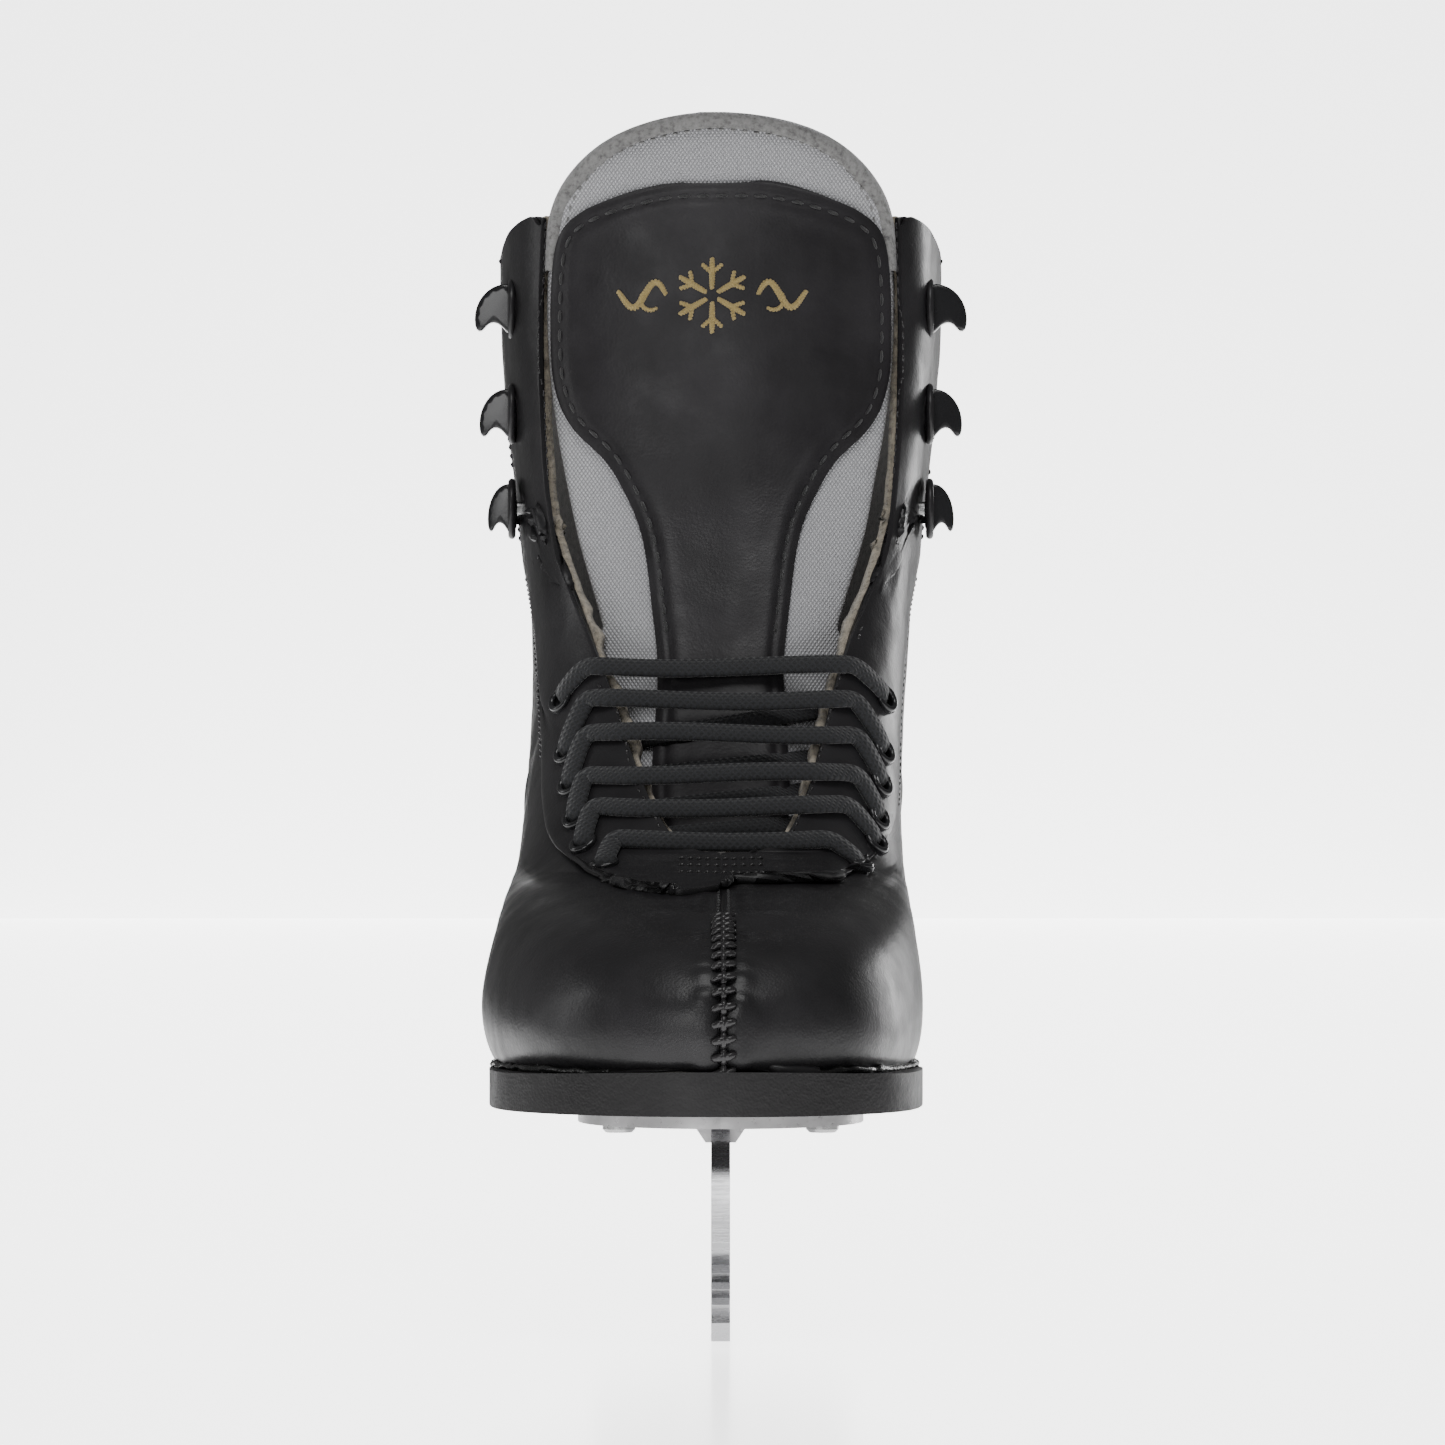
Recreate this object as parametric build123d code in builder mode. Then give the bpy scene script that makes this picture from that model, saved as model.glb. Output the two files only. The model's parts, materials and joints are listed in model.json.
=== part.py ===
"""A right-foot figure skate: laced ankle boot, stacked heel and screwed-on steel blade.

Frame: millimetres, +Z up, toes towards -Y, the wearer's inner (medial) side towards +X.
The origin is on the ice, under the middle of the skate's length and width.
Places along the skate are given as s, the distance behind the tip of the sole.
"""

from build123d import *
from collections import namedtuple
from math import hypot, radians, sqrt, tan
import os

os.makedirs("parts", exist_ok=True)

# ---------------------------------------------------------------- driving dimensions
HALF_LENGTH = 141.0        # from the tip of the sole to the middle of the skate
HALF_WIDTH = 57.6          # over the lace hooks
SIDES = (1, -1)            # medial, lateral

LEATHER = 1.6              # outer leather
PADDING = 2.6              # stiffeners and foam between leather and lining
LINING = 1.0               # suede lining
OVERLAY = 1.3              # facing strip that carries the eyelets and hooks
WALL = LEATHER + PADDING + LINING

COVER = 1.2                # leather cover on the tongue
TONGUE_FOAM = 7.8
TONGUE_LINING = 0.9
HINGE_Z = 151.0            # height of the line where the free part of the tongue bends
HINGE_GAP = 0.3            # the tongue's two parts stand this far from that line

PLATE_TOP = 48.3           # underside of the forepart of the sole
PLATE = 3.1
HEEL_TOP = 42.6            # underside of the heel block
HEEL_PLATE = 2.7
BLADE = 4.0                # blade thickness
ROCKER = 2100.0            # radius of the running edge
ROCKER_LOW = 120.0         # where along the skate the edge touches the ice

FAR = 80.0                 # half length of a cutter that passes right through the boot


def along(s):
    """Y of a point s millimetres behind the tip of the sole."""
    return s - HALF_LENGTH


def save(piece, name):
    """Labels one finished piece and writes it as its own STEP file."""
    piece.label = name
    export_step(piece, f"parts/{name}.step")


# ---------------------------------------------------------------- shape of the boot
# Each level is one horizontal slice: where it starts and ends along the skate, and its
# (lateral, medial) half widths at the ball, the waist and the heel seat.
Level = namedtuple("Level", "z toe back ball waist seat")
LEVELS = [
    Level(46, 7.0, 266.5, (45.6, 39.2), (33.6, 25.6), (30.2, 30.2)),
    Level(57, 2.8, 269.8, (49.8, 42.6), (36.8, 29.0), (32.4, 32.4)),
    Level(68, 1.2, 272.2, (52.3, 44.4), (39.0, 32.0), (34.2, 34.2)),
    Level(78, 6.2, 273.4, (51.4, 43.8), (40.6, 34.6), (35.2, 35.2)),
    Level(86, 19.5, 273.8, (49.8, 43.0), (41.7, 36.8), (35.7, 35.7)),
    Level(91.5, 40.0, 273.8, (48.4, 42.3), (42.4, 38.2), (35.9, 35.9)),
    Level(95.5, 62.0, 273.6, (47.3, 41.8), (42.9, 39.2), (36.0, 36.0)),
    Level(99, 83.5, 273.4, (46.4, 41.5), (43.2, 39.9), (36.0, 36.0)),
    Level(105, 94.0, 273.0, (45.6, 41.3), (43.5, 40.8), (36.0, 36.0)),
    Level(117, 107.0, 272.0, (44.2, 41.3), (43.9, 41.9), (36.0, 36.0)),
    Level(133, 123.0, 269.6, (42.8, 41.5), (44.2, 43.1), (36.1, 36.1)),
    Level(152, 138.5, 266.2, (42.6, 42.4), (44.5, 44.3), (36.6, 36.6)),
    Level(182, 153.5, 263.2, (45.2, 45.2), (46.8, 46.8), (38.2, 38.2)),
    Level(208, 160.0, 264.0, (48.0, 48.0), (49.6, 49.6), (40.2, 40.2)),
    Level(232, 163.0, 267.0, (49.4, 49.4), (51.0, 51.0), (42.0, 42.0)),
    Level(256, 164.0, 270.0, (49.2, 49.2), (50.8, 50.8), (42.6, 42.6)),
    Level(280, 164.5, 272.0, (49.0, 49.0), (50.4, 50.4), (42.8, 42.8)),
]
# Where a slice's outline passes: share of its length, and the share of which half width.
STATIONS = [
    (0.055, "ball", 0.64), (0.15, "ball", 0.89), (0.30, "ball", 1.0),
    (0.56, "waist", 1.0), (0.84, "seat", 1.0), (0.955, "seat", 0.72),
]
TOE_SHIFT = 3.0            # the toe's tip lies this far to the medial side


def fade(z, low, high):
    """1 below low, 0 above high, and even steps between."""
    return min(1.0, max(0.0, (high - z) / (high - low)))


def inset_level(levels, i, inset):
    """Level i moved inwards along the surface by inset, or outwards if it is negative."""
    level = levels[i]
    below, above = levels[max(i - 1, 0)], levels[min(i + 1, len(levels) - 1)]
    run, rise = above.toe - below.toe, above.z - below.z
    slope = hypot(run, rise)
    narrower = [tuple(w - inset for w in pair) for pair in level[3:]]
    return Level(
        level.z - inset * run / slope,
        level.toe + inset * rise / slope,
        level.back - inset,
        *narrower,
    )


def outline(level):
    """Points round one slice, from the toe along the medial side to the heel and back."""
    length = level.back - level.toe

    def side(which, sign):
        return [
            (sign * share * getattr(level, width)[which], along(level.toe + at * length))
            for at, width, share in STATIONS
        ]

    toe = (TOE_SHIFT * fade(level.z, 60, 110), along(level.toe))
    return [toe, *side(1, 1), (0.0, along(level.back)), *side(0, -1)[::-1]]


def boot_volume(inset, first=0):
    """The boot's shape as one solid. inset is a depth, or a function of a level's height."""
    depth = inset if callable(inset) else lambda z: inset
    with BuildPart() as volume:
        for i, level in enumerate(LEVELS):
            if i < first:
                continue
            moved = inset_level(LEVELS, i, depth(level.z))
            with BuildSketch(Plane.XY.offset(moved.z)):
                with BuildLine():
                    Spline(*outline(moved), periodic=True)
                make_face()
        loft()
    return volume.part


def side_view(lower, upper, half_width=FAR):
    """A solid that fills the side view between two curves of (s, z) points."""
    low, high = ([(along(s), z) for s, z in curve] for curve in (lower, upper))
    with BuildPart() as region:
        with BuildSketch(Plane.YZ):
            with BuildLine():
                Spline(*low) if len(low) > 2 else Line(*low)
                Line(low[-1], high[-1])
                Spline(*high) if len(high) > 2 else Line(*high)
                Line(high[0], low[0])
            make_face()
        extrude(amount=half_width, both=True)
    return region.part


def front_view(medial, lateral, near, far):
    """A solid that fills the front view between two curves of (x, z) points, from s near to far."""
    with BuildPart() as region:
        with BuildSketch(Plane.XZ.offset(-along(far))):
            with BuildLine():
                Spline(*medial)
                Spline(*lateral)
                for end in (0, -1):
                    if medial[end] != lateral[end]:
                        Line(medial[end], lateral[end])
            make_face()
        extrude(amount=far - near)
    return region.part


def block(s_near, s_far, z_low, z_high, half_width=FAR):
    """A box across the whole boot."""
    with BuildPart() as box:
        with Locations((0, along((s_near + s_far) / 2), (z_low + z_high) / 2)):
            Box(2 * half_width, s_far - s_near, z_high - z_low)
    return box.part


def shifted(curve, rise):
    """A side-view curve moved up by rise."""
    return [(s, z + rise) for s, z in curve]


# Side-view curves: the line where the upper meets the sole, and the collar's top line.
FEATHER = [
    (-12, 58.8), (20, 56.6), (60, 56.0), (108, 56.4), (148, 64.5), (185, 77.5),
    (212, 84.5), (245, 87.0), (292, 88.0),
]
COLLAR = [
    (-12, 251), (150, 251), (174, 250), (205, 241), (235, 234), (262, 233.5), (292, 237),
]
# Half widths of the throat, the opening that the tongue fills, by height.
THROAT_BASE = 102.5
THROAT = [
    (103.4, 8.5), (107, 13.5), (114, 17.5), (125, 21.5), (137, 25.2), (147, 28.6),
    (160, 33.6), (173, 38.6), (190, 41.2), (210, 42.2), (230, 42.2), (262, 41.0), (300, 41.0),
]
THROAT_SHIFT = 2.0         # the throat's foot lies this far to the medial side
THROAT_BACK = 212.0        # how far back the throat is cut


def throat_middle(z):
    """X of the middle of the throat at height z."""
    return THROAT_SHIFT * fade(z, 104, 150)


def throat_cutter():
    foot = (throat_middle(THROAT_BASE), THROAT_BASE)
    sides = [
        [foot] + [(throat_middle(z) + side * half, z) for z, half in THROAT] for side in SIDES
    ]
    return front_view(sides[0], sides[1], -12, THROAT_BACK)


above_sole = side_view(FEATHER, COLLAR)
throat = throat_cutter()
DEPTHS = {
    "overlay": -OVERLAY, "leather": 0.0, "padding": LEATHER,
    "lining": LEATHER + PADDING, "inside": WALL,
}
volumes = {name: boot_volume(depth) for name, depth in DEPTHS.items()}


# ---------------------------------------------------------------- layers under the foot
INSOLE = 4.0
FOOTBED = 4.0
SHANK = 1.6
SHANK_HALF_WIDTH = 7.0
SHANK_RUN = (96, 222)      # where the shank starts and ends


# ---------------------------------------------------------------- places found on the skin
def hit(volume, start, direction):
    """Where a ray first meets a volume's skin, and the outward normal there."""
    ray, heading = Axis(start, direction), Vector(direction)
    hits = [found for face in volume.faces() for found in face.find_intersection_points(ray)]
    point, normal = min(hits, key=lambda found: (found[0] - Vector(start)).dot(heading))
    return point, normal if normal.dot(heading) < 0 else -normal


def from_front(volume, x, z):
    """The point of a volume's skin seen from the front at (x, z), and its normal."""
    return hit(volume, (x, -3 * HALF_LENGTH, z), (0, 1, 0))


def lifted(volume, x, z, height):
    """A point at a height above a volume's skin, seen from the front at (x, z)."""
    point, normal = from_front(volume, x, z)
    return point + normal * height


# ---------------------------------------------------------------- eyelets and lace hooks
# Front-view (x, z) of the eyelets, from the toe up.
EYELETS = {
    1: [(31.0, 99.6), (34.8, 104.0), (35.5, 109.6), (36.2, 117.0), (36.9, 124.2), (37.6, 136.0)],
    -1: [(-25.8, 99.6), (-30.7, 104.0), (-32.5, 109.6), (-33.9, 117.0), (-35.0, 124.2), (-36.5, 136.0)],
}
FLANGE_RADIUS = 3.3
FLANGE = 0.7
BARREL_RADIUS = 2.4
EYELET_BORE = 2.0          # radius
SEAT_DEPTH = 0.4           # how far a flange or hook base is pressed into the leather
DEEP = WALL + OVERLAY      # thickness of the whole wall at the facing

HOOK_HEIGHTS = (181.2, 203.4, 228.0)
HOOK_PLACE = 189.0         # distance of the hooks behind the tip of the sole
HOOK_BASE_RADIUS = 4.6
HOOK_HALF_WIDTH = 2.6
RIVET_RADIUS = 1.5
RIVET_HEAD = 3.2
RIVET_HEAD_THICKNESS = 0.8

facing_skin = volumes["overlay"]
eyelet_planes = {
    side: [Plane(origin=p, z_dir=n) for p, n in (from_front(facing_skin, x, z) for x, z in row)]
    for side, row in EYELETS.items()
}
hook_planes = []
for side in SIDES:
    for z in HOOK_HEIGHTS:
        spot, normal = hit(facing_skin, (side * 3 * HALF_WIDTH, along(HOOK_PLACE), z), (-side, 0, 0))
        outward = Vector(normal.X, normal.Y, 0).normalized()
        hook_planes.append(Plane(origin=spot, x_dir=(0, 0, 1), z_dir=outward))
all_eyelets = eyelet_planes[1] + eyelet_planes[-1]

# What the eyelets and hooks take away from the wall.
with BuildPart() as seats:
    for spot in all_eyelets:
        with BuildSketch(spot.offset(-DEEP - 2)):
            Circle(BARREL_RADIUS)
        extrude(amount=DEEP + 4)
        with BuildSketch(spot.offset(-SEAT_DEPTH)):
            Circle(FLANGE_RADIUS)
        extrude(amount=2)
    for spot in hook_planes:
        with BuildSketch(spot.offset(-DEEP - 2)):
            Circle(RIVET_RADIUS)
        extrude(amount=DEEP + 4)
        with BuildSketch(spot.offset(-SEAT_DEPTH)):
            Circle(HOOK_BASE_RADIUS)
        extrude(amount=2)
        with BuildSketch(spot.offset(-DEEP - 2)):
            Circle(RIVET_HEAD)
        extrude(amount=2 + RIVET_HEAD_THICKNESS)

with BuildPart() as eyelets:
    for spot in all_eyelets:
        with BuildSketch(spot.offset(-DEEP)):
            Circle(BARREL_RADIUS)
            Circle(EYELET_BORE, mode=Mode.SUBTRACT)
        extrude(amount=DEEP)
        with BuildSketch(spot.offset(-SEAT_DEPTH)):
            Circle(FLANGE_RADIUS)
            Circle(EYELET_BORE, mode=Mode.SUBTRACT)
        extrude(amount=SEAT_DEPTH + FLANGE)
save(eyelets.part, "eyelets")

# A hook's side profile: x up the boot, y outwards from the facing.
HOOK_BASE = 1.0
with BuildPart() as lace_hooks:
    for spot in hook_planes:
        with BuildSketch(spot.offset(-SEAT_DEPTH)):
            Circle(HOOK_BASE_RADIUS)
        extrude(amount=SEAT_DEPTH + HOOK_BASE)
        side_plane = Plane(spot.origin, x_dir=spot.x_dir, z_dir=spot.x_dir.cross(spot.z_dir))
        with BuildSketch(side_plane):
            with BuildLine():
                outer = Spline((3.6, 0), (4.9, 2.6), (3.2, 6.2), (-1.4, 7.3), (-5.2, 6.0))
                inner = Spline((-4.6, 5.0), (-1.4, 6.0), (1.8, 5.0), (2.9, 2.6), (2.2, 0))
                Line(outer @ 1, inner @ 0)
                Line(inner @ 1, outer @ 0)
            make_face()
        extrude(amount=HOOK_HALF_WIDTH, both=True)
    for spot in hook_planes:
        with BuildSketch(spot.offset(-DEEP)):
            Circle(RIVET_RADIUS)
        extrude(amount=DEEP + HOOK_BASE, mode=Mode.SUBTRACT)
save(lace_hooks.part, "lace_hooks")

with BuildPart() as hook_rivets:
    for spot in hook_planes:
        with BuildSketch(spot.offset(-DEEP)):
            Circle(RIVET_RADIUS)
        extrude(amount=DEEP + HOOK_BASE)
        with BuildSketch(spot.offset(-DEEP)):
            Circle(RIVET_HEAD)
        extrude(amount=RIVET_HEAD_THICKNESS)
save(hook_rivets.part, "hook_rivets")

# ---------------------------------------------------------------- the boot's wall
def curve_x(side, points):
    """A front-view curve, or its mirror image if side is -1."""
    return [(side * x, z) for x, z in points]


FACING_EDGE = [
    (3, 96.8), (26, 97.2), (37.5, 104), (41, 122), (43, 148), (48, 172), (60, 190), (78, 200),
    (78, 262),
]
FACING_FOOT = (1.5, 96.5)
facing_region = front_view(
    [FACING_FOOT, *FACING_EDGE], [FACING_FOOT, *curve_x(-1, FACING_EDGE)[1:]], -12, 205
)

with BuildPart() as leather_wall:
    add(volumes["leather"])
    add(above_sole, mode=Mode.INTERSECT)
    add(volumes["padding"], mode=Mode.SUBTRACT)
    add(throat, mode=Mode.SUBTRACT)
    add(seats.part, mode=Mode.SUBTRACT)

for name, keep in (("upper_medial", Keep.TOP), ("upper_lateral", Keep.BOTTOM)):
    with BuildPart() as half:
        add(leather_wall.part)
        split(bisect_by=Plane.YZ, keep=keep)
    save(half.part, name)

with BuildPart() as throat_facing:
    add(volumes["overlay"])
    add(facing_region, mode=Mode.INTERSECT)
    add(volumes["leather"], mode=Mode.SUBTRACT)
    add(throat, mode=Mode.SUBTRACT)
    add(above_sole, mode=Mode.INTERSECT)
    add(seats.part, mode=Mode.SUBTRACT)
save(throat_facing.part, "throat_facing")

BACKSTAY = [(8, 88), (9, 150), (11, 232)]           # its half width by height
with BuildPart() as backstay:
    add(volumes["overlay"])
    add(front_view(BACKSTAY, curve_x(-1, BACKSTAY), 200, 290), mode=Mode.INTERSECT)
    add(volumes["leather"], mode=Mode.SUBTRACT)
save(backstay.part, "backstay")

with BuildPart() as padding_wall:
    add(volumes["padding"])
    add(above_sole, mode=Mode.INTERSECT)
    add(volumes["lining"], mode=Mode.SUBTRACT)
    add(throat, mode=Mode.SUBTRACT)
    add(seats.part, mode=Mode.SUBTRACT)
TOE_PUFF_END = 66
COUNTER_START = 178
toe_region = block(-12, TOE_PUFF_END, 0, 150)
counter_region = block(COUNTER_START, 292, 0, 150)
for name, region in (("toe_puff", toe_region), ("heel_counter", counter_region)):
    with BuildPart() as stiffener:
        add(padding_wall.part)
        add(region, mode=Mode.INTERSECT)
    save(stiffener.part, name)
with BuildPart() as quarter_padding:
    add(padding_wall.part)
    add(toe_region, mode=Mode.SUBTRACT)
    add(counter_region, mode=Mode.SUBTRACT)
save(quarter_padding.part, "quarter_padding")

with BuildPart() as lining:
    add(volumes["lining"])
    add(above_sole, mode=Mode.INTERSECT)
    add(volumes["inside"], mode=Mode.SUBTRACT)
    add(throat, mode=Mode.SUBTRACT)
    add(seats.part, mode=Mode.SUBTRACT)
save(lining.part, "lining")

# The collar's rolled edge caps the wall behind the facing.
BINDING = 3.0
BINDING_START = 199.2      # just behind the facing's back edge
with BuildPart() as collar_binding:
    add(volumes["leather"])
    add(block(BINDING_START, 300, 225, 262), mode=Mode.INTERSECT)
    add(volumes["inside"], mode=Mode.SUBTRACT)
    add(side_view(COLLAR, shifted(COLLAR, BINDING)), mode=Mode.INTERSECT)
save(collar_binding.part, "collar_binding")

# ---------------------------------------------------------------- inside the boot
with BuildPart() as shank:
    add(side_view(FEATHER, shifted(FEATHER, SHANK), SHANK_HALF_WIDTH))
    add(block(*SHANK_RUN, 0, 150), mode=Mode.INTERSECT)
save(shank.part, "shank")
with BuildPart() as insole_board:
    add(volumes["inside"])
    add(side_view(FEATHER, shifted(FEATHER, INSOLE)), mode=Mode.INTERSECT)
    add(shank.part, mode=Mode.SUBTRACT)
save(insole_board.part, "insole_board")
with BuildPart() as footbed:
    add(volumes["inside"])
    add(side_view(shifted(FEATHER, INSOLE), shifted(FEATHER, INSOLE + FOOTBED)), mode=Mode.INTERSECT)
save(footbed.part, "footbed")

# ---------------------------------------------------------------- tongue
# Depth of the tongue's cover below the boot's outer shape, by height.
TONGUE_FACE = [(133, 8.6), (152, 4.0), (182, 1.6), (208, 0.4), (232, -0.8), (256, -2.2), (280, -4.5)]
TONGUE_FIRST = 5           # the tongue needs only the levels above the toe box


def tongue_depth(z, extra=0.0):
    """Depth of the tongue's face at height z, plus the layers above the surface wanted."""
    if z <= TONGUE_FACE[0][0]:
        return TONGUE_FACE[0][1] + extra
    for (z0, d0), (z1, d1) in zip(TONGUE_FACE, TONGUE_FACE[1:]):
        if z <= z1:
            return d0 + (d1 - d0) * (z - z0) / (z1 - z0) + extra
    return TONGUE_FACE[-1][1] + extra


TONGUE_LAYERS = {
    "cover": (0.0, COVER),
    "pad": (COVER, COVER + TONGUE_FOAM),
    "lining": (COVER + TONGUE_FOAM, COVER + TONGUE_FOAM + TONGUE_LINING),
}
TONGUE_TOP = [
    (26.5, HINGE_Z + HINGE_GAP), (29, 160), (33, 173), (35.5, 185), (38.5, 200), (40.3, 215),
    (40.8, 232), (40.0, 244), (37.2, 255), (34.5, 258.6), (31.4, 262), (26.7, 265.5),
    (18.4, 269), (-3, 272),
]
TONGUE_FOOT = [
    (0, 98.5), (14, 99), (25, 105), (30.5, 118), (33.5, 132), (32, 143), (28.3, HINGE_Z - HINGE_GAP),
]
COVER_TOP = [
    (15.2, HINGE_Z + HINGE_GAP), (17, 166), (19, 176), (23, 185), (28, 192.5), (34, 198), (38.6, 206),
    (40.2, 222), (39.6, 238), (37, 246), (32, 249.6), (25, 252.2), (14, 254.8), (0, 255.7),
]
COVER_FOOT = [(0, 98), (13, 99.5), (15, 106), (15.3, 130), (15.2, HINGE_Z - HINGE_GAP)]


def across(points, shared_top):
    """The lateral twin of a medial outline; a shared top point stays where it is."""
    twin = [(-x, z) for x, z in points]
    return twin[:-1] + points[-1:] if shared_top else twin


# The tongue wraps only this far back round the foot.
tongue_front = side_view(
    [(-12, 90), (104, 91), (124, 98), (150, 122), (170, 152), (186, 185), (191, 215)],
    [(-12, 290), (150, 290), (188, 290)],
)
tongue_regions = {
    ("pad", "upper"): front_view(TONGUE_TOP, across(TONGUE_TOP, True), -12, 215),
    ("pad", "lower"): front_view(TONGUE_FOOT, across(TONGUE_FOOT, False), -12, 215),
    ("cover", "upper"): front_view(COVER_TOP, across(COVER_TOP, True), -12, 215),
    ("cover", "lower"): front_view(COVER_FOOT, across(COVER_FOOT, False), -12, 215),
}
tongue_regions["lining", "upper"] = tongue_regions["pad", "upper"]
tongue_regions["lining", "lower"] = tongue_regions["pad", "lower"]
depths = sorted({depth for pair in TONGUE_LAYERS.values() for depth in pair})
tongue_volumes = {
    extra: boot_volume(lambda z, extra=extra: tongue_depth(z, extra), TONGUE_FIRST) for extra in depths
}
for (layer_name, part_name), region in tongue_regions.items():
    outer, inner = TONGUE_LAYERS[layer_name]
    with BuildPart() as piece:
        add(tongue_volumes[outer])
        add(tongue_front, mode=Mode.INTERSECT)
        add(region, mode=Mode.INTERSECT)
        add(tongue_volumes[inner], mode=Mode.SUBTRACT)
    save(piece.part, f"tongue_{layer_name}_{part_name}")

# ---------------------------------------------------------------- sole and heel
SOLE_PLAN = [
    (3, 0.4), (24, 7), (37, 21), (43.4, 48), (43.2, 78), (35, 118), (27.5, 155), (28, 190), (31.5, 225),
    (31, 250), (20, 266),
]
SOLE_PLAN_LATERAL = [
    (-20, 266), (-31, 250), (-31.5, 225), (-31, 190), (-34.5, 155), (-42.5, 118), (-49.4, 84),
    (-50.1, 55), (-43, 23), (-24, 6),
]
HEEL_BREAST = 194.0
HEEL_TAPER = 3.0           # degrees
HEEL_SEAT = 90.0           # level at which the heel has the sole's own outline
LIFT = 6.5                 # thickness of the heel's top piece
OUTSOLE = [(128, PLATE_TOP), (152, 57.2), (185, 71.0), (212, 77.2), (292, 80.0)]


def sole_outline(inset=0.0):
    """Points round the sole, pulled in towards its middle line by inset."""
    rim = [*SOLE_PLAN[1:], (0, 270), *SOLE_PLAN_LATERAL]
    points = [(x - inset * (1 if x > 0 else -1) * min(1, abs(x) / 20), along(s)) for x, s in rim]
    return [(SOLE_PLAN[0][0], along(SOLE_PLAN[0][1] + inset)), *points]


with BuildPart() as outsole:
    with BuildSketch(Plane.XY.offset(PLATE_TOP - 2)):
        with BuildLine():
            Spline(*sole_outline(), periodic=True)
        make_face()
    extrude(amount=50)
    with BuildSketch(Plane.YZ):
        with BuildLine():
            floor = Line((along(-12), PLATE_TOP), (along(OUTSOLE[0][0]), PLATE_TOP))
            rise = Spline(*[(along(s), z) for s, z in OUTSOLE], tangents=((1, 0), (1, 0)))
            top = Spline(*[(along(s), z) for s, z in FEATHER])
            Line(floor @ 0, top @ 0)
            Line(rise @ 1, top @ 1)
        make_face()
    extrude(amount=FAR, both=True, mode=Mode.INTERSECT)

with BuildPart() as heel:
    with BuildSketch(Plane.XY.offset(HEEL_SEAT)):
        with BuildLine():
            Spline(*sole_outline(-0.2), periodic=True)
        make_face()
    extrude(amount=-(HEEL_SEAT - HEEL_TOP), taper=HEEL_TAPER)
    with BuildSketch(Plane.YZ):
        with BuildLine():
            roof = Spline(*[(along(s), z) for s, z in OUTSOLE], tangents=((1, 0), (1, 0)))
            Polyline(roof @ 0, (along(128), HEEL_TOP), (along(292), HEEL_TOP), roof @ 1)
        make_face()
    extrude(amount=FAR, both=True, mode=Mode.INTERSECT)
    with BuildSketch(Plane.YZ):
        with BuildLine():
            breast = ThreePointArc(
                (along(HEEL_BREAST), 40), (along(HEEL_BREAST - 6), 57), (along(HEEL_BREAST - 8), 80)
            )
            Polyline(breast @ 0, (along(120), 40), (along(120), 80), breast @ 1)
        make_face()
    extrude(amount=FAR, both=True, mode=Mode.SUBTRACT)

LIFT_TOP = HEEL_TOP + LIFT

# ---------------------------------------------------------------- blade and its plates
# Half outlines of the two plates as (x, s), and where their screws go.
PLATE_HALF = [
    (0, 12), (17, 17), (27.5, 30), (30.8, 48), (28.5, 68), (19.5, 94), (17.5, 118), (10, 128.5),
    (0, 130),
]
RIB_TOP = 5.3              # half widths and depth of the rib beside the blade
RIB_FOOT = 3.2
RIB = 3.1
HEEL_PLATE_HALF = [(0, 199), (13, 202), (19.5, 214), (20, 236), (18, 256), (10, 264), (0, 266)]
SOLE_SCREWS = [(21.7, 30), (21.7, 62), (-21.7, 30), (-21.7, 62), (11, 117), (-11, 117)]
HEEL_SCREWS = [(13, 214), (-13, 214), (13, 250), (-13, 250)]
SCREW_HEAD = 3.5
SCREW_HEAD_HEIGHT = 1.6
SCREW_RADIUS = 1.9
HEAD_CHAMFER = 0.7
SLOT = 4.2                 # the cross slot in a screw's head
SLOT_WIDTH = 0.9
SLOT_DEPTH = 0.8
ON_BASE = (Align.CENTER, Align.CENTER, Align.MIN)
SOLE_GRIP = 6.5            # how far a screw goes into the sole
HEEL_GRIP = 17.0
RUNNER_BACK = 284.0


def rocker(s):
    """Height of the running edge at s."""
    return ROCKER - sqrt(ROCKER**2 - (s - ROCKER_LOW) ** 2)


def yz(*points):
    """Side-view (s, z) points in the plane of the blade."""
    return [(along(s), z) for s, z in points]


TOE_PICK = yz((-2, 20.5), (1.0, 17.4), (-1.2, 15.7), (2.0, 13.6), (0.4, 12.3), (4.4, 10.2), (3.2, 8.8),
              (8.2, 6.4), (7.6, 4.6), (11.0, 0.5), (14.5, 0.4), (18.5, 4.6))
with BuildPart() as blade:
    with BuildSketch(Plane.YZ):
        with BuildLine():
            nose = Spline(*yz((15, PLATE_TOP - PLATE), (8.5, 38), (2.2, 28), (-2, 20.5)))
            teeth = Polyline(*TOE_PICK)
            heel_of_pick = Line(teeth @ 1, yz((23, rocker(23)))[0])
            edge = ThreePointArc(*yz((23, rocker(23)), (150, rocker(150)), (272, rocker(272))))
            tail = Spline(
                *yz((272, rocker(272)), (280, 8.0), (RUNNER_BACK, 13.5), (280, 18.5), (272, 19.2))
            )
            rear = Spline(*yz((272, 19.2), (263, 24.5), (258, HEEL_TOP - HEEL_PLATE)),
                          tangents=((-1, 0.25), (-0.2, 1)))
            under_heel = Line(rear @ 1, yz((208, HEEL_TOP - HEEL_PLATE))[0])
            front_of_rear = Spline(*yz((208, HEEL_TOP - HEEL_PLATE), (202, 26), (186, 17.2), (165, 16)),
                                   tangents=((-0.1, -1), (-1, 0)))
            back_of_front = Spline(*yz((165, 16), (140, 19.0), (124, 32), (118, PLATE_TOP - PLATE)),
                                   tangents=((-1, 0), (-0.2, 1)))
            Line(back_of_front @ 1, nose @ 0)
        make_face()
    extrude(amount=BLADE / 2, both=True)


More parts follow.
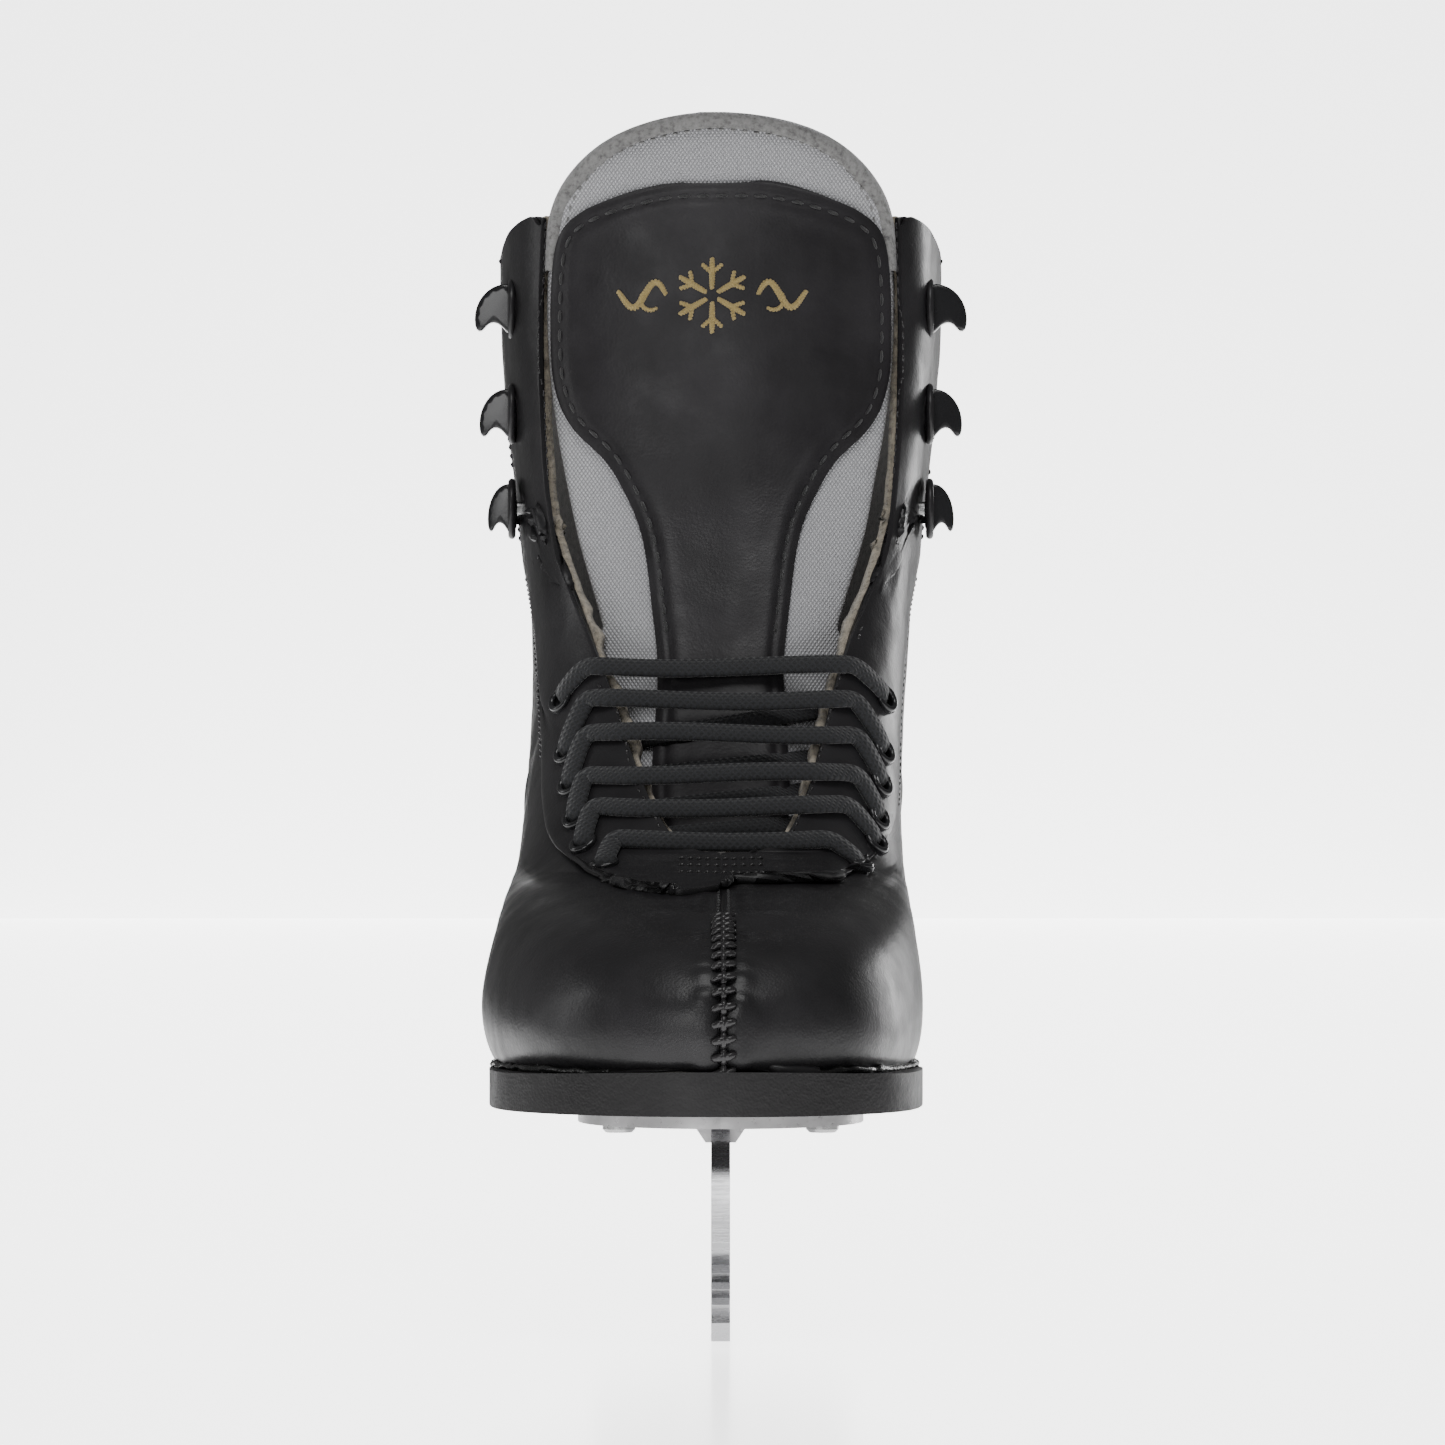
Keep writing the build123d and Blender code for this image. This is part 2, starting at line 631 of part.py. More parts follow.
def bolted_plate(half_outline, top, thick, screws, rib_near, rib_far):
    """A brazed plate with a trapezoid rib either side of the blade, and its screw holes."""
    with BuildPart() as plate:
        with BuildSketch(Plane.XY.offset(top - thick)):
            with BuildLine():
                Spline(*[(x, along(s)) for x, s in half_outline])
                Line((0, along(half_outline[-1][1])), (0, along(half_outline[0][1])))
            make_face()
            mirror(about=Plane.YZ)
        extrude(amount=thick)
        with BuildSketch(Plane.XZ.offset(-along(rib_far))):
            under = top - thick
            Polygon(
                (-RIB_TOP, under), (-RIB_FOOT, under - RIB), (RIB_FOOT, under - RIB), (RIB_TOP, under),
                align=None,
            )
        extrude(amount=rib_far - rib_near)
        add(blade.part, mode=Mode.SUBTRACT)
        with Locations(*[(x, along(s), top - thick) for x, s in screws]):
            Cylinder(SCREW_RADIUS, thick, align=ON_BASE, mode=Mode.SUBTRACT)
    return plate.part


def screws(places, top, thick, grip):
    """Pan-head screws that come up through a plate and bite into what is above."""
    with BuildPart() as group:
        with Locations(*[(x, along(s), top - thick - SCREW_HEAD_HEIGHT) for x, s in places]):
            Cylinder(SCREW_HEAD, SCREW_HEAD_HEIGHT, align=ON_BASE)
        chamfer(group.faces().sort_by(Axis.Z)[: len(places)].edges(), HEAD_CHAMFER)
        with Locations(*[(x, along(s), top - thick) for x, s in places]):
            Cylinder(SCREW_RADIUS, thick + grip, align=ON_BASE)
        with Locations(*[(x, along(s), top - thick - SCREW_HEAD_HEIGHT) for x, s in places]):
            Box(SLOT, SLOT_WIDTH, SLOT_DEPTH, align=ON_BASE, mode=Mode.SUBTRACT)
            Box(SLOT_WIDTH, SLOT, SLOT_DEPTH, align=ON_BASE, mode=Mode.SUBTRACT)
    return group.part


sole_plate = bolted_plate(PLATE_HALF, PLATE_TOP, PLATE, SOLE_SCREWS, 17, 116)
heel_plate = bolted_plate(HEEL_PLATE_HALF, HEEL_TOP, HEEL_PLATE, HEEL_SCREWS, 211, 255)
sole_plate_screws = screws(SOLE_SCREWS, PLATE_TOP, PLATE, SOLE_GRIP)
heel_plate_screws = screws(HEEL_SCREWS, HEEL_TOP, HEEL_PLATE, HEEL_GRIP)
with BuildPart() as drilled_outsole:
    add(outsole.part)
    add(sole_plate_screws, mode=Mode.SUBTRACT)
with BuildPart() as heel_block:
    add(heel.part)
    add(block(150, 300, 0, LIFT_TOP), mode=Mode.SUBTRACT)
    add(heel_plate_screws, mode=Mode.SUBTRACT)
with BuildPart() as heel_lift:
    with BuildSketch(Plane.XY.offset(LIFT_TOP)):
        with BuildLine():
            Spline(*sole_outline((HEEL_SEAT - LIFT_TOP) * tan(radians(HEEL_TAPER))), periodic=True)
        make_face()
    extrude(amount=-LIFT)
    add(block(-20, HEEL_BREAST, 0, 100), mode=Mode.SUBTRACT)
    add(heel_plate_screws, mode=Mode.SUBTRACT)
for name, piece in (
    ("outsole", drilled_outsole.part), ("heel_block", heel_block.part), ("heel_lift", heel_lift.part),
    ("blade", blade.part), ("sole_plate", sole_plate), ("heel_plate", heel_plate),
    ("sole_plate_screws", sole_plate_screws), ("heel_plate_screws", heel_plate_screws),
):
    save(piece, name)

# ---------------------------------------------------------------- lace
LACE_RADIUS = 1.1
BARS = (106.5, 114.4, 121.6, 130.2, 137.9, 145.4)    # heights of the lace's crossings
EYELET_TURN = 1.3          # radius of the lace's turn at an eyelet
AGLET_RADIUS = 1.5
AGLET = 22.0
UNDER_WALL = 1.6           # the lace's middle below the lining
OVER_FACING = 2.2          # the lace's middle above the facing
# Tails of the lace inside the boot as (x, s, z), from the eyelet to the aglet.
MEDIAL_TAIL = [(32.5, 78, 84.0), (31.5, 72, 75.0), (27, 84, 66.2), (21, 106, 66.4), (20, 130, 71.6)]
LATERAL_TAIL = [
    (-35.5, 165, 126.0), (-34.5, 177, 111.0), (-31, 188, 98.0), (-24, 201, 92.2), (-18, 218, 95.6),
    (-16, 234, 97.4),
]


def throat_half(z):
    """Half width of the throat opening at height z."""
    for (z0, w0), (z1, w1) in zip(THROAT, THROAT[1:]):
        if z <= z1:
            return w0 + (w1 - w0) * (z - z0) / (z1 - z0)
    return THROAT[-1][1]


def crossing(row, side):
    """The lace outside the boot from an eyelet to the middle of its row."""
    seat, z = eyelet_planes[side][row], BARS[row]
    edge = side * throat_half(z) + throat_middle(z)
    shoulder = edge + side * 0.55 * (abs(seat.origin.X) - abs(edge))
    return [
        seat.origin + seat.z_dir * OVER_FACING,
        lifted(facing_skin, shoulder, z - 1.0, OVER_FACING + 0.2),
        lifted(facing_skin, edge, z, OVER_FACING + 0.7),
        lifted(volumes["leather"], side * 8.0, z, -2.6),
    ]


def under(side, row):
    """The lace inside the boot, straight below an eyelet."""
    seat = eyelet_planes[side][row]
    inner, _ = hit(volumes["inside"], seat.origin + seat.z_dir * 20, -seat.z_dir)
    return inner - seat.z_dir * UNDER_WALL


lace_points = [Vector(x, along(s), z) for x, s, z in MEDIAL_TAIL[::-1]]
tight = []                 # the points where the lace turns in an eyelet
for row in range(len(BARS)):
    over = crossing(row, 1) + crossing(row, -1)[::-1]
    tight += [len(lace_points), len(lace_points) + 1]
    lace_points += [under(1, row), *over, under(-1, row)]
    tight += [len(lace_points) - 2, len(lace_points) - 1]
    if row + 1 < len(BARS):
        low, high = EYELETS[-1][row], EYELETS[1][row + 1]
        for share in (0.25, 0.42, 0.58, 0.75):
            x, z = (low[k] + share * (high[k] - low[k]) for k in (0, 1))
            lace_points.append(lifted(volumes["inside"], x, z, -UNDER_WALL))
lace_points += [Vector(x, along(s), z) for x, s, z in LATERAL_TAIL]


def bend_radii(points, tight_ones):
    """Arc radii for a run of points: as large as the runs allow, small at the eyelets."""
    radii = []
    for i in range(1, len(points) - 1):
        before, after = points[i] - points[i - 1], points[i + 1] - points[i]
        half_turn = radians(before.get_angle(after)) / 2
        roomy = 0.45 * min(before.length, after.length) / tan(half_turn)
        radii.append(min(EYELET_TURN, roomy) if i in tight_ones else roomy)
    return radii


radii = bend_radii(lace_points, tight)
with BuildPart() as lace:
    with BuildLine():
        path = FilletPolyline(*lace_points, radius=radii)
    with BuildSketch(Plane(origin=path @ 0, z_dir=path % 0)):
        Circle(LACE_RADIUS)
    sweep()
print(f"lace {path.length:.0f} mm, smallest arc {min(radii):.1f} mm")
save(lace.part, "lace")
with BuildPart() as aglets:
    for at, sign in ((0, -1), (1, 1)):
        start = path @ at
        with BuildSketch(Plane(origin=start, z_dir=(path % at) * sign)):
            Circle(AGLET_RADIUS)
        extrude(amount=AGLET)
save(aglets.part, "aglets")
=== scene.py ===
import json
import math

import bmesh
import bpy
import numpy as np
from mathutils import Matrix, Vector, noise
from mathutils.bvhtree import BVHTree

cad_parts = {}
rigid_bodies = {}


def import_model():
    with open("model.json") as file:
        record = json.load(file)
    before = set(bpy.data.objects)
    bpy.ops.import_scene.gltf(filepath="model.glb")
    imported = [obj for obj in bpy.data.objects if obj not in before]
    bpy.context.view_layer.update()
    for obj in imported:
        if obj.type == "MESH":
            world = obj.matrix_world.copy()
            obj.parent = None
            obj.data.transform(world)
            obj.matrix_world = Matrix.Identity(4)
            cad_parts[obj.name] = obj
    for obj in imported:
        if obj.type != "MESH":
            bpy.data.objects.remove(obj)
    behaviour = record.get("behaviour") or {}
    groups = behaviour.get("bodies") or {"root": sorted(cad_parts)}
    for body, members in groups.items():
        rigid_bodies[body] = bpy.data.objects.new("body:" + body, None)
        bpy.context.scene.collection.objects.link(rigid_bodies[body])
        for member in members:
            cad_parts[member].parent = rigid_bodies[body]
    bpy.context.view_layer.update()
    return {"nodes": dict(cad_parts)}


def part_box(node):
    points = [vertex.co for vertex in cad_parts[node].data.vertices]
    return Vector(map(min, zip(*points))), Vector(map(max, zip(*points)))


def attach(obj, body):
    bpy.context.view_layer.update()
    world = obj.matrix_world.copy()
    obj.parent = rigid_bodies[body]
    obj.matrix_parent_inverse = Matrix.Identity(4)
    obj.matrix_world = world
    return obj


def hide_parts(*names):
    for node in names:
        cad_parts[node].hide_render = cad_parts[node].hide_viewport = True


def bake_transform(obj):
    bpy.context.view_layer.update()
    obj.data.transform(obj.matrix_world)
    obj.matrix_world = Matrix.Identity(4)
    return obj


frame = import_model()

# Lengths in this script are millimetres; meshes are written in metres.
MM = 0.001
FAR_OUT = 400.0
SIDES = (1, -1)            # medial (+X), lateral (-X)
SIDE_NAME = {1: "medial", -1: "lateral"}

# ---------------- the frame's own shapes
nodes = frame["nodes"]


def box_mm(node):
    """Lowest and highest corner of a CAD node, in millimetres."""
    low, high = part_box(node)
    return np.array(low) * 1000, np.array(high) * 1000


def skin(*names):
    """A ray-castable copy of some CAD nodes."""
    points, faces = [], []
    for name in names:
        mesh = nodes[name].data
        base = len(points)
        points += [v.co * 1000 for v in mesh.vertices]
        faces += [[base + i for i in p.vertices] for p in mesh.polygons]
    return BVHTree.FromPolygons(points, faces)


def cast(tree, start, direction, reach=2 * FAR_OUT):
    """Where a ray meets a skin, and the normal turned back towards the ray, or (None, None)."""
    direction = Vector(direction).normalized()
    place, normal, _, _ = tree.ray_cast(Vector(start), direction, reach)
    if place is None:
        return None, None
    return place, normal if normal.dot(direction) < 0 else -normal


def islands(node):
    """The separate solids of one CAD node, each as an array of its points."""
    mesh = nodes[node].data
    keys, index = {}, []
    for v in mesh.vertices:
        index.append(keys.setdefault(tuple(round(c * 1e6) for c in v.co), len(keys)))
    parent = list(range(len(keys)))

    def root(i):
        while parent[i] != i:
            parent[i] = parent[parent[i]]
            i = parent[i]
        return i

    for p in mesh.polygons:
        first = root(index[p.vertices[0]])
        for i in p.vertices[1:]:
            parent[root(index[i])] = first
    groups = {}
    for key, i in keys.items():
        groups.setdefault(root(i), []).append(key)
    return [np.array(points) * 1e-3 for points in groups.values()]


leather_skin = skin("upper_medial", "upper_lateral")
facing_skin = skin("throat_facing")
padding_skin = skin("quarter_padding")
tongue_skin = skin("tongue_pad_upper", "tongue_pad_lower")
cover_skin = skin("tongue_cover_upper", "tongue_cover_lower")

low, high = box_mm("outsole")
TOE_Y, HEEL_Y = low[1], high[1]
low, high = box_mm("upper_medial")
COLLAR_TOP, FEATHER_LOW = high[2], low[2]
facing_low, _ = box_mm("throat_facing")


# ---------------- mesh helpers
def new_mesh(name, points, faces, smooth=True):
    mesh = bpy.data.meshes.new(name)
    mesh.from_pydata([Vector(p) * MM for p in points], [], [tuple(f) for f in faces])
    mesh.update()
    for polygon in mesh.polygons:
        polygon.use_smooth = smooth
    piece = bpy.data.objects.new(name, mesh)
    bpy.context.scene.collection.objects.link(piece)
    return piece


def grid_faces(rows, columns, wrap=False):
    faces = []
    for i in range(rows - 1):
        for j in range(columns if wrap else columns - 1):
            k = (j + 1) % columns
            here, above = i * columns, (i + 1) * columns
            faces.append((here + j, here + k, above + k, above + j))
    return faces


def grid_piece(name, grid, wrap=False, flip=False):
    rows, columns = len(grid), len(grid[0])
    faces = grid_faces(rows, columns, wrap)
    if flip:
        faces = [f[::-1] for f in faces]
    return new_mesh(name, [p for row in grid for p in row], faces)


def apply_modifiers(piece):
    graph = bpy.context.evaluated_depsgraph_get()
    done = bpy.data.meshes.new_from_object(piece.evaluated_get(graph))
    piece.modifiers.clear()
    old = piece.data
    piece.data = done
    bpy.data.meshes.remove(old)
    for polygon in piece.data.polygons:
        polygon.use_smooth = True
    return piece


def refine(piece, levels=2):
    modifier = piece.modifiers.new("finer", "SUBSURF")
    modifier.levels = modifier.render_levels = levels
    modifier.boundary_smooth = "PRESERVE_CORNERS"
    return apply_modifiers(piece)


def thicken(piece, thickness, rim_bevel=0.0):
    """Gives a sheet its thickness, inwards from the side its normals face."""
    modifier = piece.modifiers.new("thick", "SOLIDIFY")
    modifier.thickness = thickness * MM
    modifier.offset = -1
    modifier.use_even_offset = False
    if rim_bevel:
        bevel = piece.modifiers.new("rim", "BEVEL")
        bevel.width = rim_bevel * MM
        bevel.segments = 2
        bevel.limit_method = "ANGLE"
        bevel.angle_limit = math.radians(50)
    return apply_modifiers(piece)


def displace(piece, push):
    """Moves each point of a mesh along its normal by push(place in mm, normal), in mm."""
    mesh = piece.data
    normals = [v.normal.copy() for v in mesh.vertices]
    for v, normal in zip(mesh.vertices, normals):
        v.co += normal * (push(v.co * 1000, normal) * MM)
    mesh.update()


def resample(points, count, ease=0.0):
    """Points evenly spaced along a polyline; ease > 0 crowds them towards its start."""
    points = np.array(points, float)
    steps = np.linalg.norm(np.diff(points, axis=0), axis=1)
    run = np.concatenate([[0], np.cumsum(steps)])
    t = np.linspace(0, 1, count)
    t = (1 - ease) * t + ease * t * t
    return np.stack([np.interp(t * run[-1], run, points[:, k]) for k in range(3)], axis=1)


def smooth_rows(grid, rounds=2):
    """Evens out facets in a grid of points: each point moves only along the surface's normal."""
    grid = np.array(grid, float)
    for _ in range(rounds):
        inner = grid[1:-1, 1:-1]
        around = (grid[:-2, 1:-1] + grid[2:, 1:-1] + grid[1:-1, :-2] + grid[1:-1, 2:]) / 4
        normal = np.cross(grid[2:, 1:-1] - grid[:-2, 1:-1], grid[1:-1, 2:] - grid[1:-1, :-2])
        normal /= np.maximum(np.linalg.norm(normal, axis=2, keepdims=True), 1e-9)
        off = ((around - inner) * normal).sum(axis=2, keepdims=True)
        grid[1:-1, 1:-1] = inner + 0.5 * off * normal
    return grid


def bump(value, centre, width):
    """A smooth hump of height 1 at centre."""
    return math.exp(-((value - centre) / width) ** 2)


def step_down(value, low_end, high_end):
    t = min(1.0, max(0.0, (value - low_end) / (high_end - low_end)))
    return 1 - t * t * (3 - 2 * t)


# ---------------- materials
def material(name, color, roughness=0.5, metallic=0.0, **sockets):
    made = bpy.data.materials.new(name)
    made.use_nodes = True
    tree = made.node_tree
    shader = tree.nodes["Principled BSDF"]
    shader.inputs["Base Color"].default_value = (*color, 1)
    shader.inputs["Roughness"].default_value = roughness
    shader.inputs["Metallic"].default_value = metallic
    for key, value in sockets.items():
        shader.inputs[key.replace("_", " ")].default_value = value
    return made


def add_node(tree, kind, **values):
    made = tree.nodes.new(kind)
    for key, value in values.items():
        if key in made.inputs:
            made.inputs[key].default_value = value
        else:
            setattr(made, key, value)
    return made


def coordinates(tree, scale=(1, 1, 1), turn=(0, 0, 0)):
    """Object coordinates in millimetres, scaled and turned."""
    source = add_node(tree, "ShaderNodeTexCoord")
    mapping = add_node(tree, "ShaderNodeMapping")
    mapping.inputs["Scale"].default_value = [1000 * s for s in scale]
    mapping.inputs["Rotation"].default_value = turn
    tree.links.new(source.outputs["Object"], mapping.inputs["Vector"])
    return mapping.outputs["Vector"]


def ramp(tree, source, stops):
    made = add_node(tree, "ShaderNodeValToRGB")
    elements = made.color_ramp.elements
    while len(elements) < len(stops):
        elements.new(0.5)
    for element, (place, color) in zip(elements, stops):
        element.position = place
        element.color = color if len(color) == 4 else (*color, 1)
    tree.links.new(source, made.inputs["Fac"])
    return made.outputs["Color"]


def noise_of(tree, vector, scale, detail=4.0, roughness=0.55):
    made = add_node(tree, "ShaderNodeTexNoise", Scale=scale, Detail=detail, Roughness=roughness)
    tree.links.new(vector, made.inputs["Vector"])
    return made.outputs["Fac"]


def cells_of(tree, vector, scale):
    made = add_node(tree, "ShaderNodeTexVoronoi", Scale=scale)
    made.feature = "SMOOTH_F1"
    tree.links.new(vector, made.inputs["Vector"])
    return made.outputs["Distance"]


def math_of(tree, kind, a, b):
    made = add_node(tree, "ShaderNodeMath", operation=kind)
    for socket, value in zip(made.inputs, (a, b)):
        if isinstance(value, (int, float)):
            socket.default_value = value
        else:
            tree.links.new(value, socket)
    return made.outputs["Value"]


def bumped(tree, heights):
    """Stacks bump nodes: each is (height socket, depth in millimetres)."""
    normal = None
    for height, depth in heights:
        node = add_node(tree, "ShaderNodeBump", Strength=1.0)
        node.inputs["Distance"].default_value = depth * MM
        tree.links.new(height, node.inputs["Height"])
        if normal is not None:
            tree.links.new(normal, node.inputs["Normal"])
        normal = node.outputs["Normal"]
    shader = tree.nodes["Principled BSDF"]
    tree.links.new(normal, shader.inputs["Normal"])
    if shader.inputs["Coat Weight"].default_value > 0:
        tree.links.new(normal, shader.inputs["Coat Normal"])


def leather(name, color, roughness, grain=0.05, coat=0.0):
    made = material(name, color, roughness, Coat_Weight=coat, Coat_Roughness=0.2,
                    Specular_IOR_Level=0.26)
    tree = made.node_tree
    shader = tree.nodes["Principled BSDF"]
    place = coordinates(tree)
    clouds = noise_of(tree, place, 0.045, 3)
    dark, light = [c * 0.75 for c in color], [c * 1.35 for c in color]
    tree.links.new(ramp(tree, clouds, [(0.3, dark), (0.7, light)]), shader.inputs["Base Color"])
    rough = ramp(tree, noise_of(tree, place, 0.11, 5), [
        (0.3, [roughness * 0.82] * 3), (0.72, [roughness * 1.25] * 3)])
    tree.links.new(rough, shader.inputs["Roughness"])
    pores = cells_of(tree, place, 1.9)
    folds = noise_of(tree, place, 0.6, 3)
    bumped(tree, [(folds, grain * 1.6), (pores, grain)])
    return made


def times(color, factor):
    """A colour made darker or lighter, at most white."""
    return [min(1, c * factor) for c in color]


def fabric_mesh(name, color):
    """Spacer mesh: rows of small loops, with painted shade in the gaps between them and painted light on
    the loop tops.
    """
    made = material(name, color, 0.85, Sheen_Weight=0.25)
    tree = made.node_tree
    shader = tree.nodes["Principled BSDF"]
    rows = []
    for angle in (0.62, -0.62):
        wave = add_node(tree, "ShaderNodeTexWave", Scale=0.42, Distortion=0.5, Detail=1.0)
        tree.links.new(coordinates(tree, turn=(0, angle, 0)), wave.inputs["Vector"])
        rows.append(wave.outputs["Fac"])
    knit = math_of(tree, "MULTIPLY", rows[0], rows[1])
    place = coordinates(tree)
    # The colour follows the knit's height: painted shade in the gaps between loops, lighter loop tops as
    # painted light.
    shade = [c * 0.42 for c in color]
    colors = ramp(tree, knit, [(0.0, shade), (0.22, times(color, 0.86)), (0.8, times(color, 1.12))])
    tree.links.new(colors, shader.inputs["Base Color"])
    bumped(tree, [(noise_of(tree, place, 0.12, 2), 0.5), (knit, 0.32)])
    return made


def suede(name, color, depth=0.35):
    made = material(name, color, 0.95, Sheen_Weight=0.4)
    tree = made.node_tree
    place = coordinates(tree)
    shader = tree.nodes["Principled BSDF"]
    spots = noise_of(tree, place, 0.7, 6, 0.7)
    colors = ramp(tree, spots, [(0.32, times(color, 0.35)), (0.5, color), (0.72, times(color, 1.4))])
    tree.links.new(colors, shader.inputs["Base Color"])
    bumped(tree, [(noise_of(tree, place, 1.6, 5, 0.7), depth)])
    return made


def woven(name, color):
    """A flat braid: the UV map runs along (u, in mm) and across (v, 0 to 1) the ribbon."""
    made = material(name, color, 0.8, Sheen_Weight=0.15)
    tree = made.node_tree
    shader = tree.nodes["Principled BSDF"]
    source = add_node(tree, "ShaderNodeUVMap")
    rows = []
    for lean in (1, -1):
        mapping = add_node(tree, "ShaderNodeMapping")
        mapping.inputs["Scale"].default_value = (1.0, 4.4 * lean, 1.0)
        tree.links.new(source.outputs["UV"], mapping.inputs["Vector"])
        wave = add_node(tree, "ShaderNodeTexWave", Scale=0.38, bands_direction="DIAGONAL")
        tree.links.new(mapping.outputs["Vector"], wave.inputs["Vector"])
        rows.append(wave.outputs["Fac"])
    braid = math_of(tree, "MAXIMUM", rows[0], rows[1])
    # The colour follows the braid's height: painted shade in the grooves between strands, painted light
    # on the strands' crowns.
    colors = ramp(tree, braid, [(0.3, times(color, 0.35)), (1.0, times(color, 1.6))])
    tree.links.new(colors, shader.inputs["Base Color"])
    bumped(tree, [(braid, 0.16)])
    return made


def steel(name, color, roughness, stretch, depth=0.02):
    """Brushed metal: noise drawn out along the direction in which stretch is small."""
    made = material(name, color, roughness, 1.0)
    tree = made.node_tree
    shader = tree.nodes["Principled BSDF"]
    lines = noise_of(tree, coordinates(tree, stretch), 1.0, 6, 0.7)
    rough = ramp(tree, lines, [(0.25, [roughness * 0.6] * 3), (0.75, [min(1, roughness * 1.6)] * 3)])
    tree.links.new(rough, shader.inputs["Roughness"])
    blotches = noise_of(tree, coordinates(tree), 0.09, 3)
    colors = ramp(tree, blotches, [(0.3, times(color, 0.82)), (0.7, color)])
    tree.links.new(colors, shader.inputs["Base Color"])
    bumped(tree, [(lines, depth)])
    return made


def thread(name, color, roughness=0.45):
    made = material(name, color, roughness, Sheen_Weight=0.2)
    tree = made.node_tree
    wave = add_node(tree, "ShaderNodeTexWave", Scale=2.0, Distortion=1.0)
    tree.links.new(coordinates(tree, turn=(0.4, 0.5, 0.3)), wave.inputs["Vector"])
    shader = tree.nodes["Principled BSDF"]
    # The colour follows the twist's height: painted shade in the grooves of the twist.
    colors = ramp(tree, wave.outputs["Fac"], [(0.0, times(color, 0.45)), (0.7, color)])
    tree.links.new(colors, shader.inputs["Base Color"])
    bumped(tree, [(wave.outputs["Fac"], 0.08)])
    return made


BLACK = (0.013, 0.0125, 0.0135)
mats = {
    "upper": leather("boot leather", BLACK, 0.36, 0.030),
    "facing": leather("facing leather", (0.014, 0.0135, 0.0145), 0.34, 0.030),
    "cover": leather("tongue cover leather", (0.015, 0.014, 0.0155), 0.46, 0.045),
    "binding": leather("binding leather", (0.014, 0.0135, 0.014), 0.42, 0.045),
    "mesh": fabric_mesh("grey spacer mesh", (0.50, 0.50, 0.52)),
    "rim": suede("tongue rim suede", (0.17, 0.168, 0.165), 0.10),
    "raw edge": suede("raw split-leather edge", (0.34, 0.30, 0.235), 0.5),
    "suede": suede("grey suede lining", (0.11, 0.103, 0.098), 0.12),
    "lace": woven("black woven lace", (0.0035, 0.0040, 0.0055)),
    "thread": thread("black thread", (0.012, 0.012, 0.013)),
    "cord": leather("waxed seam cord", (0.018, 0.017, 0.018), 0.26, 0.02, coat=0.2),
    "gold": thread("gold thread", (0.50, 0.37, 0.13), 0.38),
    "hardware": leather("black enamel", (0.010, 0.010, 0.011), 0.22, 0.006, coat=0.3),
    "sole": leather("lacquered sole edge", (0.010, 0.0095, 0.010), 0.5, 0.07),
    "glue": leather("dried glue", (0.006, 0.006, 0.006), 0.25, 0.09),
    "heel": leather("lacquered heel", (0.014, 0.0135, 0.014), 0.42, 0.05),
    "blade": steel("polished blade", (0.40, 0.40, 0.41), 0.24, (0.15, 0.06, 1.6), 0.02),
    "plate": steel("satin plate", (0.40, 0.395, 0.40), 0.32, (0.9, 0.12, 0.9), 0.03),
    "screws": steel("satin screws", (0.42, 0.42, 0.42), 0.28, (0.8, 0.8, 0.8), 0.01),
    "board": suede("leather board", (0.26, 0.18, 0.11), 0.1),
    "footbed": suede("footbed cloth", (0.10, 0.10, 0.105), 0.1),
    "plastic": leather("aglet plastic", (0.012, 0.012, 0.013), 0.25, 0.004, coat=0.4),
}


def paint(piece, name):
    piece.data.materials.clear()
    piece.data.materials.append(mats[name])
    return piece


def finish_piece(piece, finish, body="boot", replaced=()):
    """Gives a piece its material in one slot and joins it to its body, except that a tongue piece has
    its place baked into its mesh instead. It also hides the CAD nodes that the piece stands for.
    """
    paint(piece, finish)
    if body == "tongue":
        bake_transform(piece)
    else:
        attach(piece, body)
    if replaced:
        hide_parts(*replaced)
    return piece


# ---------------- reading the boot's shape
def lowest_true(test, low_value, high_value, rounds=14):
    """The switch point between a false low_value and a true high_value."""
    for _ in range(rounds):
        middle = (low_value + high_value) / 2
        if test(middle):
            high_value = middle
        else:
            low_value = middle
    return high_value


def side_hit(tree, y, z):
    return cast(tree, (FAR_OUT, y, z), (-1, 0, 0), FAR_OUT)[0] is not None


RUN = np.arange(TOE_Y + 18, HEEL_Y - 22, 3.0)
foot_line = [lowest_true(lambda z: side_hit(leather_skin, y, z), 40, 105) for y in RUN]
roof_run = [y for y in RUN if y > 15]
roof_tops = [-lowest_true(lambda z: side_hit(leather_skin, y, -z), -285, -200) for y in roof_run]
# No steeper than one in one, so that the search for a ring's height in ring_hit settles.
roof_line = [max(top - abs(y - at) for at, top in zip(roof_run, roof_tops)) for y in roof_run]


def foot(y):
    return float(np.interp(y, RUN, foot_line))


def roof(y):
    return float(np.interp(y, roof_run, roof_line))


heights = np.arange(FEATHER_LOW + 1, COLLAR_TOP, 1.0)
fronts, backs = [], []
for z in heights:
    hits = [cast(leather_skin, (x, -FAR_OUT, z), (0, 1, 0))[0] for x in range(-44, 45, 4)]
    fronts.append(min(h.y for h in hits if h))
    back = cast(leather_skin, (0, FAR_OUT, z), (0, -1, 0))[0]
    backs.append(back.y if back and back.y > 50 else HEEL_Y - 15)


def front_y(z):
    return float(np.interp(z, heights, fronts))


def back_y(z):
    return float(np.interp(z, heights, backs))


RAY = 150.0


